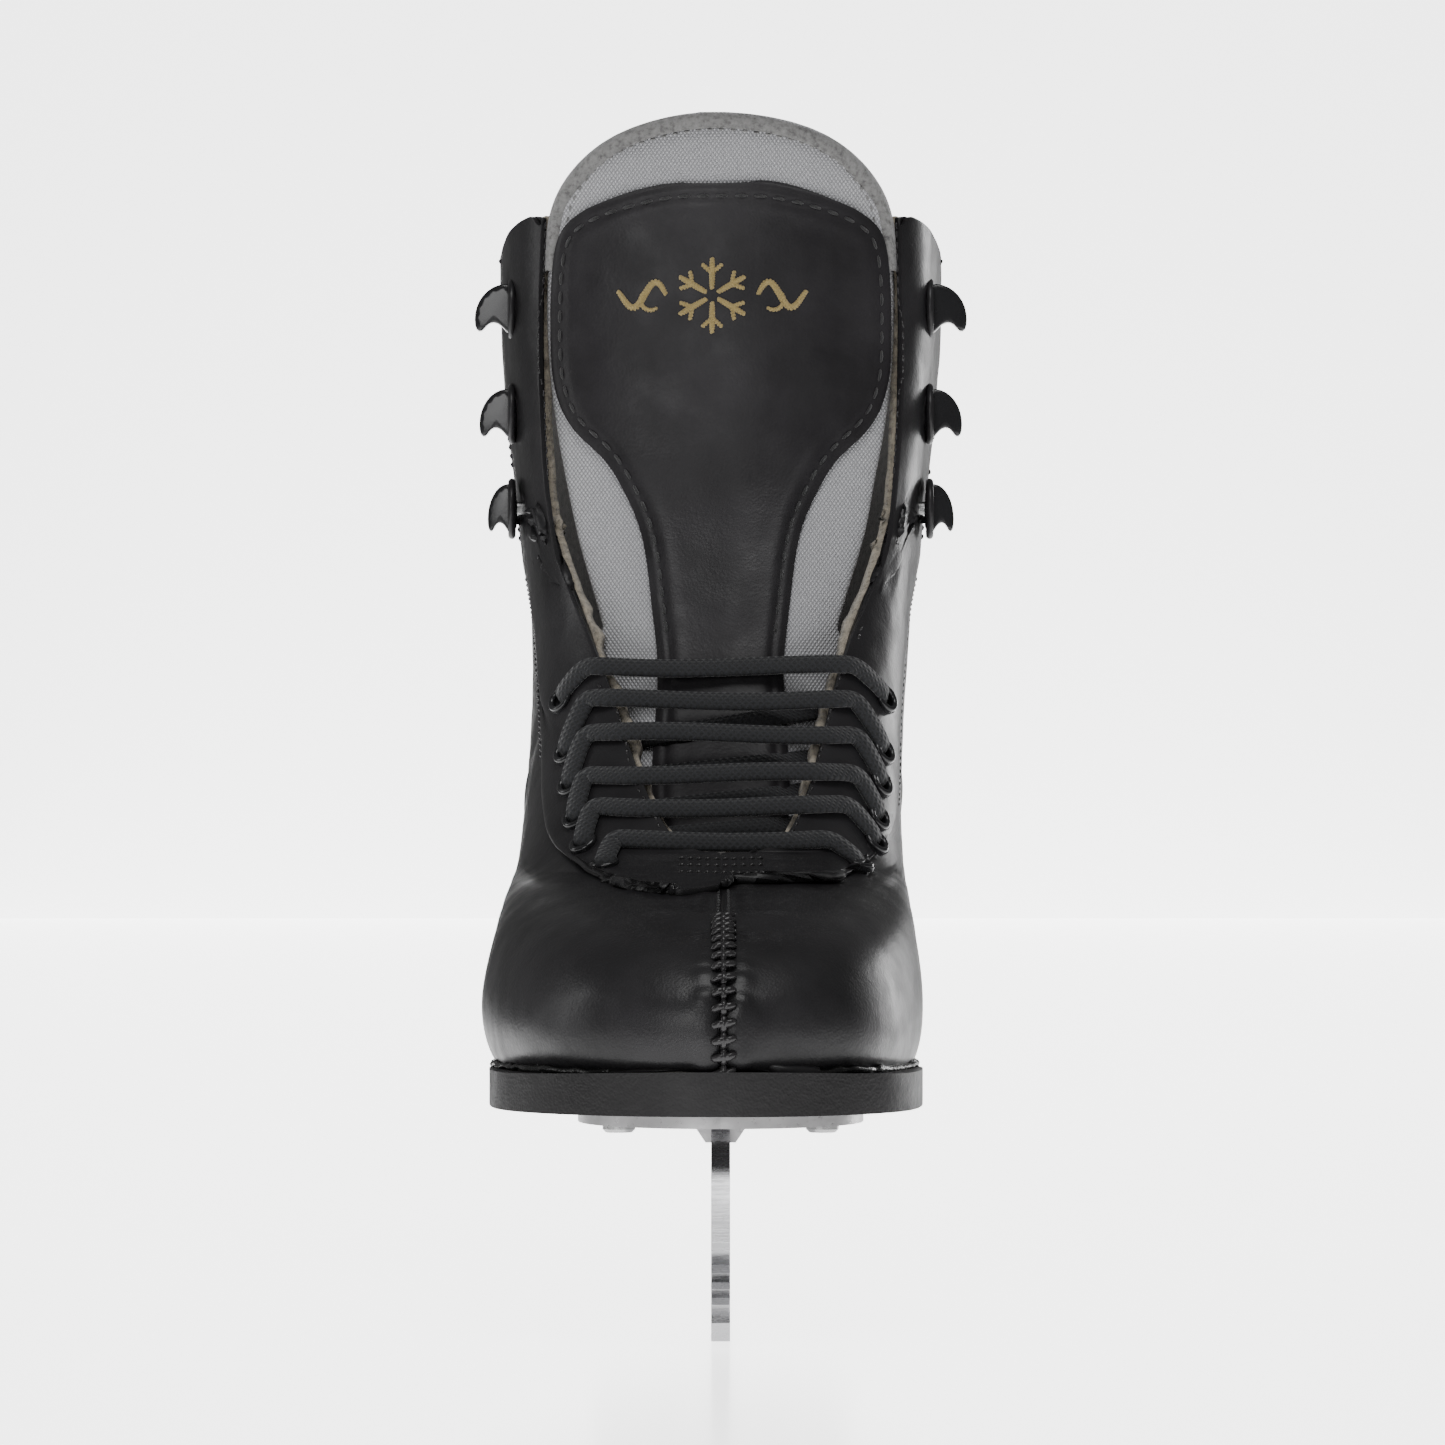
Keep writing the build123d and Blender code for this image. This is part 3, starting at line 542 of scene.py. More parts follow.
def ring_hit(tree, side, level, u):
    """A skin's outer side at a share level of the way up; u runs 0 to 3 round one side."""
    y = -60.0 if u < 1 else 60.0
    for _ in range(5):
        z = foot(y) * (1 - level) + roof(y) * level
        near, far = front_y(z) + 40, back_y(z) - 30
        if u <= 1:
            middle, turn = near, u * math.pi / 2
            out = Vector((side * math.sin(turn), -math.cos(turn), 0))
        elif u <= 2:
            middle, out = near + (far - near) * (u - 1), Vector((side, 0, 0))
        else:
            middle, turn = far, (u - 2) * math.pi / 2
            out = Vector((side * math.cos(turn), math.sin(turn), 0))
        centre = Vector((0, middle, z))
        backing, _ = cast(leather_skin, centre + out * RAY, -out, RAY - 2)
        y = backing.y if backing else centre.y + 44 * out.y
    return cast(tree, centre + out * RAY, -out, RAY - 2)[0]


SAMPLES = np.concatenate([np.linspace(0, 1, 46), np.linspace(1, 2, 34)[1:], np.linspace(2, 3, 30)[1:]])


def ring_line(tree, side, level):
    """The stretch of one ring that lies on a skin, from its front end to its back end."""
    def on_skin(u):
        return ring_hit(tree, side, level, u) is not None

    hits = [ring_hit(tree, side, level, u) for u in SAMPLES]
    there = [i for i, h in enumerate(hits) if h]
    if len(there) < 2:
        return None
    first, last = there[0], there[-1]
    line = [hits[i] for i in there]
    if first > 0:
        u = lowest_true(on_skin, SAMPLES[first - 1], SAMPLES[first], 9)
        line.insert(0, ring_hit(tree, side, level, u))
    if last < len(SAMPLES) - 1:
        u = -lowest_true(lambda v: on_skin(-v), -SAMPLES[last + 1], -SAMPLES[last], 9)
        line.append(ring_hit(tree, side, level, u))
    return line


ROW_STEP = 2.6
THROAT_FOOT = lowest_true(lambda z: cast(leather_skin, (2, -FAR_OUT, z), (0, 1, 0))[0].y > 20, 96, 110)
ridge = [(0, front_y(z), z) for z in heights]
ridge_length = sum(math.dist(a, b) for a, b in zip(ridge, ridge[1:]))
row_heights = [p[2] for p in resample(ridge, int(ridge_length / ROW_STEP))]
row_heights += [THROAT_FOOT + d for d in (-0.3, 0.0, 0.15, 0.4, 0.8, 1.4, 2.3, 3.4)]
row_heights += [facing_low[2] + d for d in (0.1, 0.5, 1.0, 1.7, 2.5)]
row_heights = sorted(row_heights)


def level_of(z):
    """The share of the way up at which the boot's front is at height z."""
    y = front_y(z)
    return min(0.999, max(0.002, (z - foot(y)) / (roof(y) - foot(y))))


LEVEL_STEP = 0.0135


def filled(values, step):
    """The values in rising order, with more put in wherever two lie further apart than step."""
    values = sorted(set(round(v, 4) for v in values))
    even = [values[0]]
    for value in values[1:]:
        count = max(1, math.ceil((value - even[-1]) / step - 1e-6))
        first = even[-1]
        even += [first + (value - first) * (k + 1) / count for k in range(count)]
    return even


# Rows follow rising levels, so that no row lies across another one.
LEVELS = filled([level_of(z) for z in row_heights], LEVEL_STEP)


EDGE_COLUMNS = 5           # columns beside the throat whose rows are evened out
EDGE_ROUNDS = 6
MOST_FALL = 0.2            # a row whose front end falls by more than this is left out


def side_sheet(tree, side, columns, ease):
    """A grid over one side of a skin, from its front end round to its back end.

    A row whose front end would lie below the row before it is left out.
    """
    grid, kept = [], []
    for level in LEVELS:
        line = ring_line(tree, side, level)
        if line and not (kept and line[0][2] < kept[-1] - MOST_FALL):
            grid.append(resample(line, columns, ease))
            kept.append(line[0][2])
    grid = np.array(grid)
    first = next(i for i, z in enumerate(kept) if z > THROAT_FOOT + 4)
    for _ in range(EDGE_ROUNDS):
        edge = grid[first:, :EDGE_COLUMNS].copy()
        grid[first + 1:-1, :EDGE_COLUMNS] = 0.5 * edge[1:-1] + 0.25 * (edge[:-2] + edge[2:])
    return grid, kept


# ---------------- upper leather
SEAM_X = 0.6
PUCKER_Z = 88.6


def ripple(place, size, seed=0.0):
    return noise.noise(Vector(place) / size + Vector((seed, seed * 0.7, -seed)))


def upper_push(place, normal):
    """Wrinkles, the valley of the toe seam and the puckers that run out of it, in millimetres."""
    x, y, z = place
    push = 0.30 * ripple(place, 26) + 0.12 * ripple(place, 8, 3)
    if y < -10:
        off = abs(x - SEAM_X)
        depth = step_down(z, 92, 100)
        push -= 0.9 * depth * bump(off, 0, 1.5)
        push += 0.35 * depth * bump(off, 4.2, 2.0) * (1 + 0.8 * math.sin(y * 1.9))
        spread = 1.6 + off * 0.16
        push += 1.3 * bump(z, PUCKER_Z + 0.7, spread * 0.5) * bump(off, 9, 9)
        push -= 1.0 * bump(z, PUCKER_Z - 1.4, spread * 0.5) * bump(off, 6, 9)
    crease = y + 0.55 * (z - 150)
    push += 0.55 * bump(crease, 6, 5) * bump(z, 128, 26) * math.sin(z * 0.23 + 0.4)
    return push


uppers, upper_pieces = {}, {}
for side, node in ((1, "upper_medial"), (-1, "upper_lateral")):
    grid, kept = side_sheet(leather_skin, side, 110, 0.5)
    grid = smooth_rows(grid, 8)
    skirt = grid[0] - np.array([0, 0, 1.6])
    grid = np.concatenate([[skirt], grid])
    piece = grid_piece(node + "_leather", grid, flip=side < 0)
    refine(piece, 1)
    displace(piece, upper_push)
    thicken(piece, 1.5)
    finish_piece(piece, "upper", replaced=[node])
    uppers[side], upper_pieces[side] = grid, piece

# ---------------- facing that carries eyelets and hooks
eyelet_rings = sorted(islands("eyelets"), key=lambda p: p[:, 2].mean())
hook_shapes = sorted(islands("lace_hooks"), key=lambda p: p[:, 2].mean())
eyelet_centres = [Vector(p.mean(axis=0)) for p in eyelet_rings]
hook_centres = [Vector(((p.min(axis=0) + p.max(axis=0)) / 2)) for p in hook_shapes]
pull_points = []
for centre in hook_centres:
    side = 1 if centre.x > 0 else -1
    place, normal = cast(facing_skin, (side * FAR_OUT, centre.y, centre.z), (-side, 0, 0))
    if place:
        pull_points.append(place)


def facing_push(place, normal):
    x, _, z = place
    push = 0.22 * ripple(place, 14, 5) + 0.10 * ripple(place, 5, 9)
    for point in pull_points:
        away = (place - point).length
        if away < 16:
            angle = math.atan2(place.z - point.z, place.y - point.y)
            push += 0.5 * bump(away, 7.2, 2.2) * (0.7 + 0.5 * math.sin(5 * angle + point.z))
            push -= 0.6 * bump(away, 0, 4.5)
    for point in eyelet_centres:
        away = (place - point).length
        if away < 8:
            push -= 0.25 * bump(away, 0, 3.6)
    if z < 106:
        push += 0.3 * math.sin(z * 3.1) * bump(z, 100.6, 1.8) * bump(x, 0, 15)
    return push


facing_ends = {}
for side in SIDES:
    grid, kept = side_sheet(facing_skin, side, 30, 0.0)
    for _ in range(4):
        grid[1:-1, -1] = 0.5 * grid[1:-1, -1] + 0.25 * (grid[:-2, -1] + grid[2:, -1])
        grid[0, 1:-1] = 0.5 * grid[0, 1:-1] + 0.25 * (grid[0, :-2] + grid[0, 2:])
    facing_ends[side] = grid
    piece = grid_piece("facing_" + SIDE_NAME[side], smooth_rows(grid, 4), flip=side < 0)
    refine(piece, 1)
    displace(piece, facing_push)
    thicken(piece, 1.25, rim_bevel=0.35)
    finish_piece(piece, "facing", replaced=["throat_facing"])


# ---------------- stitches, cords and edges
def surface_of(*pieces):
    """A ray-castable copy of finished meshes."""
    points, faces = [], []
    for piece in pieces:
        base = len(points)
        points += [v.co * 1000 for v in piece.data.vertices]
        faces += [[base + i for i in p.vertices] for p in piece.data.polygons]
    return BVHTree.FromPolygons(points, faces)


def settle(tree, place, outward):
    """The nearest point of a surface and its normal, turned to the outward side."""
    spot, normal, _, _ = tree.find_nearest(Vector(place))
    return spot, normal if normal.dot(outward) >= 0 else -normal


STITCH_SHAPE = (           # share of the length, swell and lift of one stitch
    (0.0, 0.35, -0.5), (0.14, 0.85, 0.0), (0.5, 1.0, 0.35), (0.86, 0.85, 0.0), (1.0, 0.35, -0.5))


def add_stitch(points, faces, start, end, normal, radius):
    """One short thread from start to end, whose ends dip under the surface."""
    along_it = (end - start).normalized()
    across = along_it.cross(normal).normalized()
    base, sides = len(points), 6
    for share, swell, lift in STITCH_SHAPE:
        centre = start.lerp(end, share) + normal * lift * radius
        for k in range(sides):
            turn = 2 * math.pi * k / sides
            points.append(centre + (across * math.cos(turn) + normal * math.sin(turn)) * radius * swell)
    for i in range(len(STITCH_SHAPE) - 1):
        for k in range(sides):
            n = (k + 1) % sides
            faces.append((base + i * sides + k, base + i * sides + n,
                          base + (i + 1) * sides + n, base + (i + 1) * sides + k))
    faces.append([base + k for k in range(sides)][::-1])
    faces.append([base + (len(STITCH_SHAPE) - 1) * sides + k for k in range(sides)])


def stitch_run(name, line, tree, outward, pitch, length, radius,
               body="boot", finish="thread"):
    """A row of stitches that follows a line over a surface."""
    line = np.array([list(p) for p in line])
    total = np.linalg.norm(np.diff(line, axis=0), axis=1).sum()
    even = resample(line, max(2, int(total / pitch)))
    points, faces = [], []
    for a, b in zip(even, even[1:]):
        spot, normal = settle(tree, (a + b) / 2, outward)
        way = Vector(b - a).normalized()
        add_stitch(points, faces, spot - way * length / 2, spot + way * length / 2, normal, radius)
    return finish_piece(new_mesh(name, points, faces), finish, body)


def moved_in(line, tree, outward, distance, towards):
    """A line shifted over a surface by distance, to the side on which the point towards lies."""
    shifted = []
    for i, p in enumerate(line):
        way = Vector(line[min(i + 1, len(line) - 1)]) - Vector(line[max(i - 1, 0)])
        _, normal = settle(tree, p, outward)
        side = normal.cross(way).normalized()
        if side.dot(Vector(towards) - Vector(p)) < 0:
            side = -side
        shifted.append(Vector(p) + side * distance)
    return shifted


def smooth_line(line, rounds):
    line = np.array([list(p) for p in line], float)
    for _ in range(rounds):
        line[1:-1] = 0.5 * line[1:-1] + 0.25 * (line[:-2] + line[2:])
    return line


def ribbon(name, line, outwards, width, thick, finish="lace", body="boot"):
    """A flat braid along a line. outwards gives the way that its face looks at each point."""
    line = [Vector(p) for p in line]
    half, depth = width / 2, thick / 2
    profile = ((-half, 0), (-half * 0.86, depth), (0, depth * 1.15), (half * 0.86, depth),
               (half, 0), (half * 0.86, -depth), (0, -depth * 1.15), (-half * 0.86, -depth))
    points, run, runs = [], 0.0, []
    for i, p in enumerate(line):
        way = (line[min(i + 1, len(line) - 1)] - line[max(i - 1, 0)]).normalized()
        face = Vector(outwards[i])
        face = (face - way * face.dot(way)).normalized()
        across = way.cross(face)
        if i:
            run += (p - line[i - 1]).length
        runs.append(run)
        for a, d in profile:
            points.append(p + across * a + face * d)
    count = len(profile)
    faces = [tuple(reversed(range(count))), tuple(len(points) - count + k for k in range(count))]
    faces += grid_faces(len(line), count, wrap=True)
    piece = new_mesh(name, points, faces)
    layer = piece.data.uv_layers.new(name="UVMap")
    for polygon in piece.data.polygons:
        for loop in polygon.loop_indices:
            vertex = piece.data.loops[loop].vertex_index
            layer.data[loop].uv = (runs[vertex // count], (profile[vertex % count][0] + half) / width)
    return finish_piece(piece, finish, body)


def bead(name, line, radius, rough, finish, body="boot", seed=0.0, sides=8, flatten=1.0):
    """A round cord or bead of glue along a line, with an uneven radius if rough > 0."""
    line = [Vector(p) for p in line]
    points = []
    up = Vector((0, 0, 1))
    for i, p in enumerate(line):
        way = (line[min(i + 1, len(line) - 1)] - line[max(i - 1, 0)]).normalized()
        across = way.cross(up if abs(way.z) < 0.9 else Vector((0, 1, 0))).normalized()
        above = across.cross(way)
        for k in range(sides):
            turn = 2 * math.pi * k / sides
            out = across * math.cos(turn) + above * math.sin(turn) * flatten
            points.append(p + out * radius * (1 + rough * ripple(p + out * 2, 3.0, seed)))
    faces = [tuple(reversed(range(sides))), tuple(len(points) - sides + k for k in range(sides))]
    faces += grid_faces(len(line), sides, wrap=True)
    return finish_piece(new_mesh(name, points, faces), finish, body)


# ---------------- raw suede edge of the throat
NEAR_COVER = 6.0           # a cover further off than this is another part of the boot


def held_under(piece, cover, side, depth):
    """Keeps a side sheet at least depth millimetres below its cover, from the side and above."""
    for vertex in piece.data.vertices:
        place = vertex.co * 1000
        hit, normal = cast(cover, (side * FAR_OUT, place.y, place.z), (-side, 0, 0))
        if hit and abs(normal.x) > 0.45 and abs(hit.x - place.x) < NEAR_COVER:
            place.x = side * min(place.x * side, hit.x * side - depth / abs(normal.x))
        hit, normal = cast(cover, (place.x, place.y, FAR_OUT + 150), (0, 0, -1))
        if hit and normal.z > 0.35 and abs(hit.z - place.z) < NEAR_COVER:
            place.z = min(place.z, hit.z - depth / normal.z)
        vertex.co = place / 1000


LONGEST_EDGE, BRIDGE_TOP = 8.0, 165.0


def without_bridges(piece):
    """Takes out the stretched faces that would bridge the gap where the padding's rows change length."""
    shape = bmesh.new()
    shape.from_mesh(piece.data)
    bridges = [f for f in shape.faces if f.calc_center_median().z * 1000 < BRIDGE_TOP
               and max(e.calc_length() for e in f.edges) * 1000 > LONGEST_EDGE]
    bmesh.ops.delete(shape, geom=bridges, context="FACES")
    shape.to_mesh(piece.data)
    shape.free()


RAW_EDGE = 2.8             # how far the raw edge stands out of the throat's leather edge
for side in SIDES:
    grid, kept = side_sheet(padding_skin, side, 60, 0.75)
    grid = smooth_rows(grid, 1)
    for i in range(len(grid)):
        if kept[i] > THROAT_FOOT + 1:
            way = Vector(grid[i][0] - grid[i][2]).normalized()
            reach = RAW_EDGE * (0.9 + 0.9 * ripple(grid[i][0], 5, 2) + 0.5 * ripple(grid[i][0], 1.7, 8))
            reach *= 0.3 if kept[i] > 173 else 1 - 0.6 * step_down(kept[i], 108, 135)
            grid[i][0] += np.array(way) * reach
    piece = grid_piece("padding_" + SIDE_NAME[side], grid, flip=side < 0)
    without_bridges(piece)
    refine(piece, 1)
    displace(piece, lambda place, normal: -0.45)
    cover = surface_of(upper_pieces[side])
    held_under(piece, cover, side, 1.8)
    thicken(piece, 2.2)
    held_under(piece, cover, side, 0.5)
    finish_piece(piece, "raw edge", replaced=["quarter_padding"])

# ---------------- tongue
def edge_x(tree, z, side, middle=0.0):
    """Where a tongue layer ends on one side, seen from the front."""
    def missed(x):
        return cast(tree, (middle + side * x, -FAR_OUT, z), (0, 1, 0))[0] is None
    return middle + side * lowest_true(missed, 0, 60)


def top_of(tree, x):
    return lowest_true(lambda z: cast(tree, (x, -FAR_OUT, z), (0, 1, 0))[0] is None, 200, 290)


def front_sheet(tree, z_low, z_top, step, columns):
    """A grid over what the front view shows of a tongue layer, and its outline in (x, z)."""
    levels = list(np.arange(z_low, z_top - 6, step))
    levels += [z_top - d for d in (5.4, 3.8, 2.5, 1.5, 0.8, 0.3)]
    grid, left, right = [], [], []
    for z in levels:
        ends = [edge_x(tree, z, side, -2.0 if z > z_top - 3 else 0.0) for side in (-1, 1)]
        row = []
        for t in np.linspace(0.004, 0.996, columns):
            x = ends[0] + (ends[1] - ends[0]) * t
            place, _ = cast(tree, (x, -FAR_OUT, z), (0, 1, 0))
            row.append(place if place else row[-1] + Vector((0.1, 0, 0)))
        grid.append(row)
        left.append((ends[0], z))
        right.append((ends[1], z))
    return np.array(grid), left + right[::-1]


def edge_distance(x, z, outline):
    """How far a point of the front view is from an outline."""
    a = np.array(outline[:-1])
    d = np.array(outline[1:]) - a
    p = np.array([x, z]) - a
    t = np.clip((p * d).sum(1) / np.maximum((d * d).sum(1), 1e-9), 0, 1)
    return float(np.sqrt(((p - d * t[:, None]) ** 2).sum(1).min()))


low_tongue = box_mm("tongue_pad_lower")[0][2]
pad_top = top_of(tongue_skin, -3)
pad_grid, pad_outline = front_sheet(tongue_skin, low_tongue + 1.5, pad_top, 2.4, 44)
cover_top = top_of(cover_skin, -1)
cover_foot = box_mm("tongue_cover_lower")[0][2] + 1.5
cover_grid, cover_outline = front_sheet(cover_skin, cover_foot, cover_top, 2.2, 40)
PAD_THICK = 7.4


def pad_push(place, normal):
    x, y, z = place
    if y > 60 or normal.y > 0:
        return 0.0
    near_cover = edge_distance(x, z, cover_outline)
    return 0.25 * ripple(place, 18, 6) - 0.35 * bump(near_cover, 0.0, 2.2)


def cover_push(place, normal):
    x, _, z = place
    inside = edge_distance(x, z, cover_outline)
    push = 0.35 * ripple(place, 22, 1) + 0.14 * ripple(place, 7, 2)
    push -= 0.55 * bump(inside, 0, 1.3)
    push -= 0.30 * bump(inside, 3.0, 0.8)
    push += 0.25 * bump(inside, 5.2, 1.6)
    return push


def closed_pad(name, front, depth):
    """A stuffed piece: a front grid, a back grid behind it and a rim that joins them."""
    rows, columns = front.shape[:2]
    inward = np.zeros_like(front)
    inward[..., 0] = -0.004 * front[..., 0]
    inward[..., 1] = 1.0
    inward[..., 2] = -0.12
    middle_layer, back_layer = front + inward * depth * 0.5, front + inward * depth
    border = [(0, j) for j in range(columns)] + [(i, columns - 1) for i in range(1, rows)]
    border += [(rows - 1, j) for j in range(columns - 2, -1, -1)]
    border += [(i, 0) for i in range(rows - 2, 0, -1)]
    points = [p for row in front for p in row] + [p for row in back_layer for p in row]
    count = rows * columns
    faces = grid_faces(rows, columns)
    faces += [tuple(count + k for k in f[::-1]) for f in grid_faces(rows, columns)]
    ring_start = len(points)
    for i, j in border:
        out = np.array([front[i, j][0] * 0.02, 0, 0.9 if i == rows - 1 else 0])
        points.append(middle_layer[i, j] + out)
    total = len(border)
    for k, (i, j) in enumerate(border):
        n = (k + 1) % total
        front_a, front_b = i * columns + j, border[n][0] * columns + border[n][1]
        faces.append((front_b, front_a, ring_start + k, ring_start + n))
        faces.append((ring_start + n, ring_start + k, count + front_a, count + front_b))
    piece = new_mesh(name, points, faces)
    return refine(piece, 1)


pad = closed_pad("tongue_pad", smooth_rows(pad_grid, 5), PAD_THICK)
displace(pad, pad_push)
finish_piece(pad, "mesh", "tongue", replaced=["tongue_pad_upper", "tongue_pad_lower"])
cover = grid_piece("tongue_cover", smooth_rows(cover_grid, 5))
refine(cover, 1)
displace(cover, cover_push)
thicken(cover, 1.2, rim_bevel=0.4)
finish_piece(cover, "cover", "tongue",
             replaced=["tongue_cover_upper", "tongue_cover_lower"])
pad_surface, cover_surface = surface_of(pad), surface_of(cover)
AHEAD = Vector((0, -1, 0.2))


def inset_outline(outline, distance, z_from):
    """A front-view outline moved inwards, kept above z_from, as (x, z) points."""
    line = np.array(outline)
    way = np.gradient(line, axis=0)
    way /= np.maximum(np.linalg.norm(way, axis=1)[:, None], 1e-9)
    inner = line + np.stack([way[:, 1], -way[:, 0]], axis=1) * distance
    keep = [p for p in inner if p[1] > z_from and edge_distance(p[0], p[1], outline) > distance * 0.93]
    return keep


def on_front(tree, flat):
    placed = [cast(tree, (x, -FAR_OUT, z), (0, 1, 0))[0] for x, z in flat]
    return [p for p in placed if p]


cover_seam = on_front(cover_surface, inset_outline(cover_outline, 2.9, 150))
stitch_run("cover_stitches", cover_seam, cover_surface, AHEAD, 4.3, 3.1, 0.42, "tongue")

# The suede rim that binds the tongue's top.
RIM = 3.0
RIM_PROFILE = ((-RIM, 0.15), (-RIM * 0.6, 0.75), (-0.6, 0.7), (0.55, -0.6), (0.8, -3.6),
               (0.2, -7.0), (-RIM, -7.9))
rim_line = [p for p in pad_outline if p[1] > 236]
rim_places = smooth_line(on_front(tongue_skin, [(x * 0.992, z - 0.25) for x, z in rim_line]), 4)
rim_places = resample(rim_places, 90)
rim_points = []
for i, p in enumerate(rim_places):
    way = Vector(rim_places[min(i + 1, 89)] - rim_places[max(i - 1, 0)]).normalized()
    face = Vector((0, -1, 0.12)).normalized()
    out = face.cross(way).normalized()
    if out.dot(Vector(p) - Vector((0, p[1], 225))) < 0:
        out = -out
    for a, d in RIM_PROFILE:
        rim_points.append(Vector(p) + out * a + face * d)
rim = new_mesh("tongue_rim", rim_points, grid_faces(90, len(RIM_PROFILE)))
refine(rim, 1)
thicken(rim, 0.5)
finish_piece(rim, "rim", "tongue")
rim_seam = on_front(pad_surface, inset_outline(pad_outline, RIM + 0.9, 238))
stitch_run("rim_stitches", rim_seam, pad_surface, AHEAD, 2.6, 1.3, 0.3, "tongue", "rim")

# The lining on the tongue's back.
tongue_back = skin("tongue_lining_upper", "tongue_lining_lower")
back_grid = []
for row in pad_grid[4:-3]:
    line = []
    for p in row[1:-1]:
        place, _ = cast(tongue_back, (p[0] * 0.985, FAR_OUT, p[2]), (0, -1, 0))
        if place:
            line.append(place)
    if len(line) > 30:
        back_grid.append(resample(line, 40))
back = grid_piece("tongue_back", smooth_rows(back_grid, 2), flip=True)
refine(back, 1)
displace(back, lambda place, normal: 0.3 * ripple(place, 15, 4))
thicken(back, 0.8)
finish_piece(back, "suede", "tongue", replaced=["tongue_lining_upper", "tongue_lining_lower"])

# ---------------- generic gold embroidery on the cover
ornament_points, ornament_faces = [], []


def satin(flat, width, lean=0.5):
    """A stroke of satin stitch along a line of the front view: short threads laid side by side."""
    line = resample([(x, 0, z) for x, z in flat], max(3, int(sum(
        math.dist(a, b) for a, b in zip(flat, flat[1:])) / 0.55)))
    for i in range(1, len(line) - 1):
        x, _, z = line[i]
        way = Vector(line[i + 1] - line[i - 1]).normalized()
        share = i / (len(line) - 1)
        half = width / 2 * (0.45 + 0.55 * math.sin(math.pi * share) ** 0.5)
        cross = Vector((way.z, 0, -way.x)) + way * lean
        dx, dz = cross.x * half, cross.z * half
        ends = on_front(cover_surface, [(x - dx, z - dz), (x + dx, z + dz)])
        if len(ends) == 2:
            add_stitch(ornament_points, ornament_faces, ends[0], ends[1], AHEAD.normalized(), 0.42)


ORNAMENT = Vector((-2.0, 0, 229.5))    # middle of the embroidery
for arm in range(6):
    turn = math.pi / 6 + arm * math.pi / 3
    way = Vector((math.cos(turn), 0, math.sin(turn)))
    cross = Vector((-math.sin(turn), 0, math.cos(turn)))
    tip, fork = ORNAMENT + way * 9.0, ORNAMENT + way * 5.2
    satin([(ORNAMENT.x + way.x * 1.2, ORNAMENT.z + way.z * 1.2), (tip.x, tip.z)], 1.5)
    for side in SIDES:
        twig = fork + way * 2.3 + cross * 2.6 * side
        satin([(fork.x, fork.z), (twig.x, twig.z)], 1.1)
for side in SIDES:
    scroll = [(ORNAMENT.x + side * (10.5 + 11.5 * t),
               ORNAMENT.z + 3.4 * math.sin(2.2 * math.pi * t) * (1 - 0.3 * t))
              for t in np.linspace(0, 1, 24)]
    satin(scroll, 1.7)
    curl = [(ORNAMENT.x + side * (14.2 + 2.3 * math.cos(a)), ORNAMENT.z - 1.0 + 2.3 * math.sin(a))
            for a in np.linspace(-2.4, 1.6, 16)]
    satin(curl, 1.1)
ornament = new_mesh("cover_embroidery", ornament_points, ornament_faces)
finish_piece(ornament, "gold", "tongue")

# ---------------- seams of the upper
upper_meshes = [bpy.data.objects[n] for n in ("upper_medial_leather", "upper_lateral_leather")]
facing_meshes = [bpy.data.objects[n] for n in ("facing_medial", "facing_lateral")]
upper_surface, facing_surface = surface_of(*upper_meshes), surface_of(*facing_meshes)
outer_surface = surface_of(*upper_meshes, *facing_meshes)
UP_AHEAD = Vector((0, -0.5, 0.9))

seam = on_front(leather_skin, [(SEAM_X, z) for z in np.arange(foot(TOE_Y) + 1.0, PUCKER_Z + 0.8, 0.7)])
seam_length = sum((b - a).length for a, b in zip(seam, seam[1:]))
TOE_STITCH = 3.2
points, faces = [], []
holes = [Vector(p) for p in resample([list(p) for p in seam], int(seam_length / TOE_STITCH))]
for i, p in enumerate(holes):
    way = (holes[min(i + 1, len(holes) - 1)] - holes[max(i - 1, 0)]).normalized()
    _, normal = settle(leather_skin, p, UP_AHEAD)
    centre = p + normal * 0.45
    for side in SIDES:
        across = Vector((side, 0, 0))
        start, end = centre - across * 0.9 - way * 0.5 * side, centre + across * 2.7 + way * 0.7 * side
        add_stitch(points, faces, start, end, normal, 0.95)
    add_stitch(points, faces, centre - way * 1.9, centre + way * 1.9, normal, 0.8)
finish_piece(new_mesh("toe_seam_stitches", points, faces), "cord")
fine_heights = np.arange(PUCKER_Z + 1.5, facing_low[2] + 0.5, 0.5)
fine_seam = on_front(leather_skin, [(SEAM_X, z) for z in fine_heights])
if len(fine_seam) > 2:
    for side in SIDES:
        row = [p + Vector((side * 0.9, 0, 0)) for p in fine_seam]
        stitch_run("seam_row_" + SIDE_NAME[side], row, upper_surface, UP_AHEAD, 2.2, 1.4, 0.32)

# The line of stitches that holds the facing, and the row along the throat.
for side in SIDES:
    label = SIDE_NAME[side]
    grid = facing_ends[side]
    border = [Vector(p) for p in grid[0]] + [Vector(row[-1]) for row in grid[1:]]
    border = smooth_line(border, 3)
    outward = Vector((side * 0.7, -0.6, 0.4))
    towards = (side * 36, border[len(border) // 2][1] - 30, 150)
    inner = moved_in(border, facing_skin, outward, 1.7, towards)
    stitch_run(f"facing_stitches_{label}", smooth_line(inner, 3), facing_surface, outward,
               2.2, 1.4, 0.34, finish="cord")
    edge = [Vector(row[0]) for row in uppers[side][1:] if row[0][2] > THROAT_FOOT + 3]
    edge = smooth_line(edge, 3)
    inner = moved_in(edge, facing_skin, outward, 2.6, (side * 90, -20, 150))
    stitch_run(f"throat_stitches_{label}", smooth_line(inner, 3), facing_surface, outward,
               2.6, 1.7, 0.32, finish="cord")

